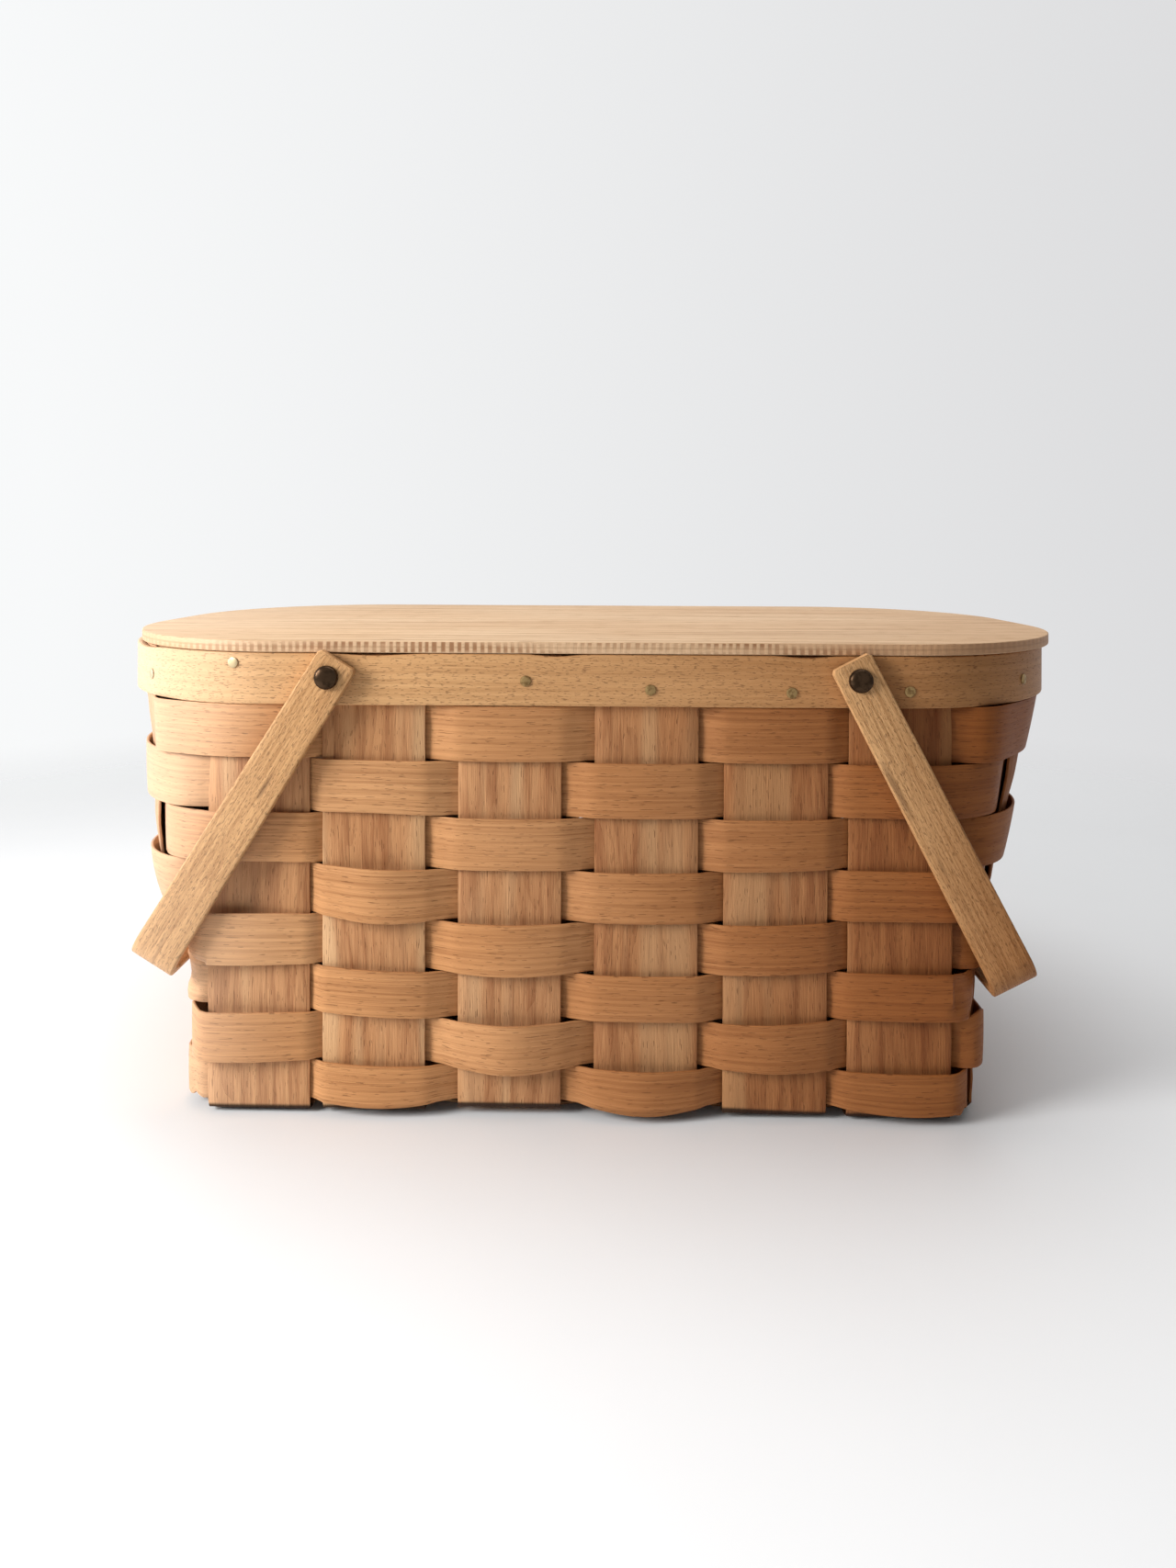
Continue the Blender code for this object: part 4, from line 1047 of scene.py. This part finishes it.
def make_handle(hand, wood_piece):
    pivot_x, lean = PIVOTS[hand]
    turned = Matrix.Translation((pivot_x, 0, PIVOT_Z)) @ Matrix.Rotation(radians(lean), 4, "Y")

    def place(x, y, z):
        mirrored = x > HANDLE_LENGTH / 2
        run = HANDLE_LENGTH - x if mirrored else x
        if run < 0.5 * HANDLE_LENGTH / HANDLE_STEPS:
            z *= 1 - 2 * END_EASING / GRIP_WIDTH
        elif run < 1.5 * HANDLE_LENGTH / HANDLE_STEPS:
            run = END_EASING
        line, height, angle = handle_middle(run)
        share = min(1.0, max(0.0, (ARM_TAIL - height) / (GRIP_DEPTH + ARM_TAIL)))
        width = (ARM_WIDTH + (GRIP_WIDTH - ARM_WIDTH) * share) / GRIP_WIDTH
        line -= y * cos(angle)
        return turned @ Vector((z * width, -line if mirrored else line, height - y * sin(angle)))

    bm = flat_strip(HANDLE_LENGTH, GRIP_WIDTH, HANDLE_THICKNESS, HANDLE_STEPS - 1, 3,
                    HANDLE_EASING, easing_steps=3)
    mark_grain(bm, wood_piece)
    bend(bm, place)
    return finish_piece(f"{hand}_bow", bm, f"{hand}_handle", [f"{hand}_handle"], handle_wood)


bows = {"left": make_handle("left", 80), "right": make_handle("right", 83)}
for hand, bow in bows.items():
    print(hand, [tuple(round(c, 4) for c in p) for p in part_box(f"{hand}_handle")],
          [round(min(v.co[i] for v in bow.data.vertices), 4) for i in range(3)])


# %% [markdown]
# The lid is a plywood board with long round ends. It is cut from a disc whose rim is moved out
# to the lid's outline, so the corners of the outline come closest together where it turns most.
# Its face shows the wide, quiet figure of peeled veneer, so it takes the same wood finish with
# broad lines and larger pores, laid by the lid's own length and width.

# %% Lid
LID_CORNERS = 192
LID_EASING = 0.0006


def lid_place(finish):
    """The lid's own X and Y, so that its grain runs along it."""
    return finish.split(finish.spot())[:2]


lid_face = wood("lid_plywood", (0.73, 0.515, 0.320), (0.40, 0.220, 0.098), (0.20, 0.095, 0.040),
                lines=(60, 1.2, 14, 5.0), line_share=0.36, streak=(5, 200), streak_share=0.56,
                fibre=(26, 1300), fibre_share=0.75, pore=(60, 700), pore_limit=0.64,
                pore_share=0.50, stain_limit=0.76, tone_share=0.3, shade_share=0.14, lit_share=0.16,
                roughness=0.56, relief=0.00006, place=lid_place)


def make_lid():
    bm = bmesh.new()
    bmesh.ops.create_circle(bm, cap_ends=True, segments=LID_CORNERS, radius=1.0)
    for vert in bm.verts:
        x, y = vert.co.xy
        sx, sy = (1 if x > 0 else -1), (1 if y > 0 else -1)
        vert.co = (sx * (LID_LENGTH / 2 - LID_END_RUN + LID_END_RUN * abs(x)),
                   sy * (LID_DEPTH / 2 - LID_END_SPREAD + LID_END_SPREAD * abs(y)), 0)
    raised = bmesh.ops.extrude_face_region(bm, geom=bm.faces[:])["geom"]
    bmesh.ops.translate(bm, verts=[v for v in raised if isinstance(v, bmesh.types.BMVert)],
                        vec=(0, 0, LID_THICKNESS))
    rims = [e for e in bm.edges if abs(e.verts[0].co.z - e.verts[1].co.z) < 1e-6]
    bmesh.ops.bevel(bm, geom=rims, offset=LID_EASING, segments=3, profile=0.5, affect="EDGES",
                    material=-1)
    bmesh.ops.translate(bm, verts=bm.verts, vec=(LID_SHIFT, 0, LID_BOTTOM))
    bmesh.ops.recalc_face_normals(bm, faces=bm.faces)
    uv = bm.loops.layers.uv.new("grain")
    for face in bm.faces:
        if abs(face.normal.z) < 0.5:
            face.material_index = 1
        for loop in face.loops:
            x, y, z = loop.vert.co
            loop[uv].uv = (x, z - LID_BOTTOM)
    return finish_piece("lid_plywood", bm, "lid", ["lid_board"], lid_face)


lid = make_lid()
print("lid faces:", len(lid.data.polygons))


# %% [markdown]
# The edge of the plywood shows one dark ply, and the cutter that shaped the board has chattered
# on it, so pale and dark marks follow each other at a nearly even pitch. They could be cut into
# the edge, but they are far too small, so colour and a fine dent make them. They fade towards
# both ends, where the board turns away from the front, and the right end is painted darker:
# painted shade, away from the window.

# %% Edge of the plywood
CHATTER_PITCH = 0.0036
EDGE_PALE, EDGE_DEEP = (0.74, 0.50, 0.30), (0.30, 0.135, 0.052)
EDGE_SHADE_TINT = (0.62, 0.43, 0.28)


def plywood_edge():
    finish = Finish("lid_plywood_edge")
    along, up = finish.grain_place()
    edge = finish.noise(along * 260, up * 2600, 2, 0.6)
    uneven = finish.noise(along * 60, 0.0, 2, 0.6, 4.4) * 9.0
    chatter = finish.between(finish.math("SINE", along * (2 * pi / CHATTER_PITCH) + uneven),
                             -0.5, 0.7)
    patches = finish.between(finish.noise(along * 14, up * 160, 2), 0.34, 0.66)
    faded = 1 - finish.between(along, -0.22, -0.10) + finish.between(along, 0.06, 0.22)
    share = (1 - chatter) * patches * 0.85 * (1 - faded * 0.7) + 0.12
    colour = finish.mix(share, EDGE_PALE, EDGE_DEEP)
    colour = finish.mix(finish.between(edge, 0.45, 0.8) * 0.4, colour, (0.34, 0.175, 0.07))
    ply = finish.between(up, 0.0022, 0.0025) - finish.between(up, 0.0031, 0.0034)
    colour = finish.mix(ply * 0.30, colour, (0.34, 0.17, 0.07))
    # Painted shade: the right end of the edge is darkened, away from the window.
    colour = finish.mix(finish.between(along, 0.02, 0.22) * 0.75, colour, EDGE_SHADE_TINT, "MULTIPLY")
    finish.paint(colour, edge * 0.2 + 0.45)
    finish.dent(edge + chatter * 0.6, 0.0001)
    return finish.material


lid.data.materials.append(plywood_edge())
print("finishes on the lid:", [slot.name for slot in lid.data.materials])

# %% [markdown]
# Two battens under the lid drop into the mouth of the basket and keep the lid from sliding off.
# Plain cubes would do for their shape, but the strip helper also gives them eased edges and a
# grain. They stay straight: the bend only moves the strip across the board.

# %% Battens
BATTEN_WIDTH = 0.024
BATTEN_HEIGHT = 0.008
BATTEN_EASING = 0.0008
BATTEN_FROM_END = 0.100
MOUTH_PLAY = 0.0030

batten_wood = wood("batten_wood", (0.62, 0.43, 0.25), (0.50, 0.31, 0.16), (0.2, 0.1, 0.05),
                   shade_share=0.3, lit_share=0.1, roughness=0.6)
band_inside = TOP_PLAN[1] - BAND_FACE - INNER_BAND
batten_length = 2 * (band_inside - MOUTH_PLAY)
for hand, sign in (("left", -1), ("right", 1)):
    bm = flat_strip(batten_length, BATTEN_WIDTH, BATTEN_HEIGHT, 12, 1, BATTEN_EASING)
    mark_grain(bm, 90 + sign)
    bend(bm, lambda x, y, z, sign=sign: (
        LID_SHIFT + sign * (LID_LENGTH / 2 - BATTEN_FROM_END) + z,
        x - batten_length / 2, LID_BOTTOM - TOUCH_GAP - BATTEN_HEIGHT / 2 + y))
    finish_piece(f"batten_{hand}", bm, "lid", [f"lid_batten_{hand}"], batten_wood)
print("batten:", round(batten_length, 4))


# %% [markdown]
# The nails are brass and have gone brown; those at the left are painted pale and dull, painted
# light where the window light falls strongest.
# The rivets are of a dark metal. Both finishes are metallic, with worn patches that are a little
# rougher. Plain grey or yellow would look like plastic here: it is the dark base colour and the
# changing gloss that make the small heads read as old metal.

# %% Metal finishes
LIT_NAIL_SPAN = (-0.21, -0.13)
METAL_RELIEF = 0.00002


def metal(name, colour, worn, roughness, grain, lit_colour=None):
    finish = Finish(name)
    coarse = finish.mottle(grain)
    share = finish.between(coarse, 0.42, 0.66)
    shade = finish.mix(share, colour, worn)
    if lit_colour:
        side = finish.split(finish.spot())[0]
        # Painted light: the nails at the left end are made pale, where the window light is
        # strongest.
        shade = finish.mix(1 - finish.between(side, *LIT_NAIL_SPAN), shade, lit_colour)
    finish.paint(shade, share * 0.18 + roughness)
    finish.shader.inputs["Metallic"].default_value = 1.0
    finish.dent(coarse, METAL_RELIEF)
    return finish.material


nail_brass = metal("nail_brass", (0.31, 0.205, 0.088), (0.17, 0.100, 0.040), 0.42, 500,
                   lit_colour=(0.80, 0.68, 0.46))
rivet_metal = metal("rivet_metal", (0.055, 0.032, 0.018), (0.028, 0.016, 0.009), 0.20, 300)
print("metals:", nail_brass.name, rivet_metal.name)


# %% [markdown]
# Nails, rivets, washers and burrs are all turned pieces: one half of the outline is spun about an
# axis, as on a lathe. A cylinder with a ball on it would show a hard step under the head. The
# outline is a short list of radius and height, and a frame puts the finished piece on the wall.

# %% Turned pieces
def turned_bm(profile, steps, frame_at):
    """Spin a profile of radius and height about the frame's +Z."""
    bm = bmesh.new()
    verts = [bm.verts.new((radius, 0, height)) for radius, height in profile]
    edges = [bm.edges.new(pair) for pair in zip(verts, verts[1:])]
    if profile[0][0] and profile[-1][0]:
        edges.append(bm.edges.new((verts[-1], verts[0])))
    bmesh.ops.spin(bm, geom=verts + edges, cent=(0, 0, 0), axis=(0, 0, 1), angle=2 * pi,
                   steps=steps, use_merge=True)
    bmesh.ops.remove_doubles(bm, verts=bm.verts, dist=1e-6)
    bmesh.ops.transform(bm, matrix=frame_at, verts=bm.verts)
    return bm


def facing(place, outward):
    up = Vector((0, 0, 1))
    side = up.cross(outward).normalized()
    return Matrix.Translation(place) @ Matrix((side, up, outward)).transposed().to_4x4()


def dome(radius, seat, height, steps, squareness=0.62):
    """Profile of a rounded head from its edge to its middle."""
    return [(radius * cos(pi / 2 * i / steps), seat + height * sin(pi / 2 * i / steps)
             ** squareness) for i in range(steps)] + [(0, seat + height)]


print("a small dome:", [(round(r, 2), round(h, 2)) for r, h in dome(1.0, 0.0, 1.0, 3)])


# %% [markdown]
# Small brass nails hold the outer band. They were driven by hand, so those on the front stray
# sideways and in height; the others are given one height. Each stands square to the band, also
# where the rim turns, because its frame is taken from the wall's own normal.

# %% Places of the nails
NAIL_RISE = 0.0105
FRONT_NAILS = ((0, -0.0103, 0.0194), (2, 0.0076, 0.0117), (3, 0.0015, 0.0079),
               (4, 0.0064, 0.0070), (5, 0.0026, 0.0079))
END_NAILS = ((0, -0.0120), (1, 0.0075), (3, -0.0075), (4, 0.0120))


def along_at(y):
    """Distance from an end's middle at which the outer band reaches a Y."""
    low, high = 0.0, QUARTER / 2
    for _ in range(40):
        along = (low + high) / 2
        point, normal = on_side(1, along, RIM_TOP)
        if (point + normal * BAND_OUTSIDE).y < abs(y):
            low = along
        else:
            high = along
    return along if y > 0 else -along


def nail_spots():
    end = [(along_at(LONG_PLACES[stake] + stray), NAIL_RISE) for stake, stray in END_NAILS]
    sides = {"front": (0, [(CROSS_PLACES[s] + stray, rise) for s, stray, rise in FRONT_NAILS]),
             "right": (1, end), "back": (2, [(x, NAIL_RISE) for x in CROSS_PLACES]),
             "left": (3, end)}
    for word, (side, places) in sides.items():
        for number, (along, rise) in enumerate(places, start=1):
            point, normal = on_side(side, along, RIM_TOP)
            point = point + normal * BAND_OUTSIDE
            yield (f"rim_nail_{word}_{number}",
                   facing(Vector((*point, RIM_BOTTOM + rise)), Vector((*normal, 0))))


# %% Nails
NAIL_HEAD = 0.0026
NAIL_SHANK = 0.0008
nail_profile = [(0, -0.0036), (NAIL_SHANK, -0.0030), (NAIL_SHANK, 0.0003),
                (NAIL_HEAD * 0.96, 0.0003)]
nail_profile += dome(NAIL_HEAD, 0.0004, 0.0005, 5)

for name, spot in nail_spots():
    finish_piece(name.replace("rim_", "brass_"), turned_bm(nail_profile, 24, spot), "basket",
                 [name], nail_brass)
print("nails:", sum(1 for _ in nail_spots()))

# %% [markdown]
# A rivet carries each end of a handle. It has a domed head outside, a washer keeps the arm off
# the band, and inside its end is hammered over a small ring, the burr. They could be spun as
# one outline, but a maker fits three pieces, so they stay apart by a hair's breadth. All are
# placed on the same line through the pivot.

# %% Outlines of the rivets
RIVET_RADIUS = 0.0020
HOLE_RADIUS = RIVET_RADIUS + 0.0004
RIVET_HEAD, RIVET_DOME = 0.0056, 0.0034
WASHER_RADIUS, WASHER_HALF = 0.0062, 0.00045
BURR_RADIUS, BURR_THICKNESS = 0.0045, 0.0008
band_outside = TOP_PLAN[1] + BAND_OUTSIDE
head_seat = ARM_INSIDE + HANDLE_THICKNESS + TOUCH_GAP
burr_top = band_inside - TOUCH_GAP
burr_end = burr_top - BURR_THICKNESS
rivet_end = burr_end - TOUCH_GAP
washer_middle = (band_outside + ARM_INSIDE) / 2


def ring_profile(radius, low, high):
    return [(HOLE_RADIUS, low), (radius, low), (radius, high), (HOLE_RADIUS, high)]


rivet_profile = [(0, rivet_end - 0.0009), (0.0021, rivet_end - 0.0007), (0.0030, rivet_end),
                 (RIVET_RADIUS, rivet_end), (RIVET_RADIUS, head_seat)]
rivet_profile += dome(RIVET_HEAD, head_seat, RIVET_DOME, 12)
profiles = {"rivet": rivet_profile,
            "washer": ring_profile(WASHER_RADIUS, washer_middle - WASHER_HALF,
                                   washer_middle + WASHER_HALF),
            "burr": ring_profile(BURR_RADIUS, burr_end, burr_top)}
print(f"the rivets' heads sit {head_seat:.4f} from the middle")

# %% Rivets
for hand, (pivot_x, _) in PIVOTS.items():
    for where, sign in (("front", -1), ("back", 1)):
        spot = facing(Vector((pivot_x, 0, PIVOT_Z)), Vector((0, sign, 0)))
        for word, profile in profiles.items():
            node = f"{hand}_{where}_{word}"
            finish_piece(f"{where}_{hand}_{word}", turned_bm(profile, 40, spot), "basket",
                         [node], rivet_metal)

# %% [markdown]
# A hole made in a flat strip would be pulled out of round when the strip is bent. So the holes
# are drilled last, with one long turned drill that goes right through the basket along each pair
# of pivots: through both arms, both bands and the stake between them.

# %% Holes for the rivets
DRILL_REACH = 0.18
long_drill = [(0, -DRILL_REACH), (HOLE_RADIUS, -DRILL_REACH), (HOLE_RADIUS, DRILL_REACH),
              (0, DRILL_REACH)]
for hand, stake in (("left", "cross_2"), ("right", "cross_6")):
    spot = facing(Vector((PIVOTS[hand][0], 0, PIVOT_Z)), Vector((0, -1, 0)))
    for piece in (bows[hand], outer_band, inner_band, stakes[stake]):
        drill(piece, turned_bm(long_drill, 24, spot))
print("drilled, pieces made:", len(made_pieces))


# %% [markdown]
# The basket stands on a pale table that melts into a pale background. A floor that ends in a
# wall would draw a line behind the basket, so the table is a disc that grows clear with the
# distance and lets the background through. Near the basket it is solid and holds the shadow.

# %% Table
TABLE_RADIUS = 2.6
TABLE_FADE = (0.42, 1.15)


def table_top():
    finish = Finish("table_top")
    far = finish.node("ShaderNodeVectorMath", {"operation": "LENGTH"}, {0: finish.spot()}, output=1)
    finish.paint(finish.mix(finish.mottle(14.0), (0.83, 0.845, 0.86), (0.85, 0.865, 0.88)),
                 0.6)
    finish.put(finish.shader.inputs["Alpha"], 1 - finish.between(far, *TABLE_FADE))
    return finish.material


bm = bmesh.new()
bmesh.ops.create_circle(bm, cap_ends=True, segments=96, radius=TABLE_RADIUS)
table = put_in_scene("table", mesh_from("table", bm))
table.data.materials.append(table_top())
print("table:", table.dimensions.to_tuple(2))


# %% [markdown]
# The room gives two things: the light that falls on the basket from all round, and the wall that
# is seen behind it. More light would make the wall white but wash out the wood, so the two are
# kept apart. Light Path tells what is seen, directly or in a gloss, from what is lit. Both are
# brighter at the left, and the light also comes more from above than from below.

# %% Room
ACROSS_SPAN = (-0.45, 0.52)
WALL_COLOURS = ((0.94, 0.95, 0.955), (0.70, 0.70, 0.71))
LIGHT_COLOURS = ((0.34, 0.335, 0.33), (0.20, 0.197, 0.193))
UPWARD_SPAN = (-0.05, 0.70)
UPWARD_LIGHT = (0.50, 1.25)


class Room(Finish):
    """The same node maker for the world."""

    def __init__(self, name):
        bpy.context.scene.world = bpy.data.worlds.new(name)
        bpy.context.scene.world.use_nodes = True
        self.tree = bpy.context.scene.world.node_tree
        self.shader = self.tree.nodes["Background"]

    def ramp(self, value, span, ends=(0.0, 1.0)):
        return self.node("ShaderNodeMapRange", {}, {
            0: value, 1: span[0], 2: span[1], 3: ends[0], 4: ends[1]})


room = Room("studio")
across, _, upward = room.split(room.node("ShaderNodeTexCoord", output="Generated"))
share = room.ramp(across, ACROSS_SPAN)
room.put(room.shader.inputs["Color"], room.mix(share, *LIGHT_COLOURS))
room.put(room.shader.inputs["Strength"], room.ramp(upward, UPWARD_SPAN, UPWARD_LIGHT))
print("nodes in the room's light:", len(room.tree.nodes))

# %% Wall behind the basket
wall = room.node("ShaderNodeBackground", {}, {
    "Color": room.mix(share, *WALL_COLOURS), "Strength": 1.0})
seen = room.node("ShaderNodeLightPath", output="Is Camera Ray")
for ray in ("Is Glossy Ray", "Is Transmission Ray"):
    seen = room.math("MAXIMUM", seen, room.node("ShaderNodeLightPath", output=ray))
chosen = room.node("ShaderNodeMixShader", {}, {
    0: seen, 1: Signal(room, room.shader.outputs[0]), 2: wall})
room.put(room.tree.nodes["World Output"].inputs["Surface"], chosen)
print("nodes in the room:", len(room.tree.nodes))


# %% [markdown]
# Two lamps do the rest: a window at the left and in front, which gives the bright left end and
# lets the weave cast its small shadows to the right, and a wide soft light overhead for the
# lid. Both are large discs, because a small lamp would draw hard shadows of the handles.

# %% Lamps
def area_light(name, place, aim, size, power, colour):
    data = bpy.data.lights.new(name, "AREA")
    data.shape, data.size, data.energy, data.color = "DISK", size, power, colour
    lamp = put_in_scene(name, data)
    lamp.location = place
    lamp.rotation_euler = (Vector(aim) - Vector(place)).to_track_quat("-Z", "Y").to_euler()


area_light("window", (-0.86, -0.56, 0.50), (-0.08, -0.05, 0.1), 0.5, 12.2, (1.0, 0.99, 0.98))
area_light("overhead", (0.16, 0.34, 1.4), (0.08, 0.0, 0.2), 1.5, 13.5, (1.0, 1.0, 1.0))
print("lamps:", len(bpy.data.lights))

# %% [markdown]
# The camera stands in front of the basket, a little above its lid, and looks level, so the
# upright lines stay upright; the frame is shifted down instead of tilting the camera. It is
# turned by about a degree and rolled by less, as a camera held by hand is.

# %% Camera
TURN = radians(-1.2)
ROLL = radians(0.23)
CAMERA_PLACE = (0.0135, -0.6937, 0.2702)

camera_data = bpy.data.cameras.new("camera")
camera_data.lens = 26.41
camera_data.sensor_width = 36.0
camera_data.sensor_fit = "AUTO"
camera_data.shift_y = -0.153
camera = put_in_scene("camera", camera_data)

right = Vector((cos(TURN), -sin(TURN), 0))
forward = Vector((sin(TURN), cos(TURN), 0))
above = Vector((0, 0, 1))
camera_x = right * cos(ROLL) + above * sin(ROLL)
camera_y = above * cos(ROLL) - right * sin(ROLL)
camera.matrix_world = Matrix.Translation(CAMERA_PLACE) @ Matrix(
    (camera_x, camera_y, -forward)).transposed().to_4x4()
bpy.context.scene.camera = camera
bpy.context.scene.view_settings.view_transform = "Standard"
print("lens:", round(camera_data.lens, 2))
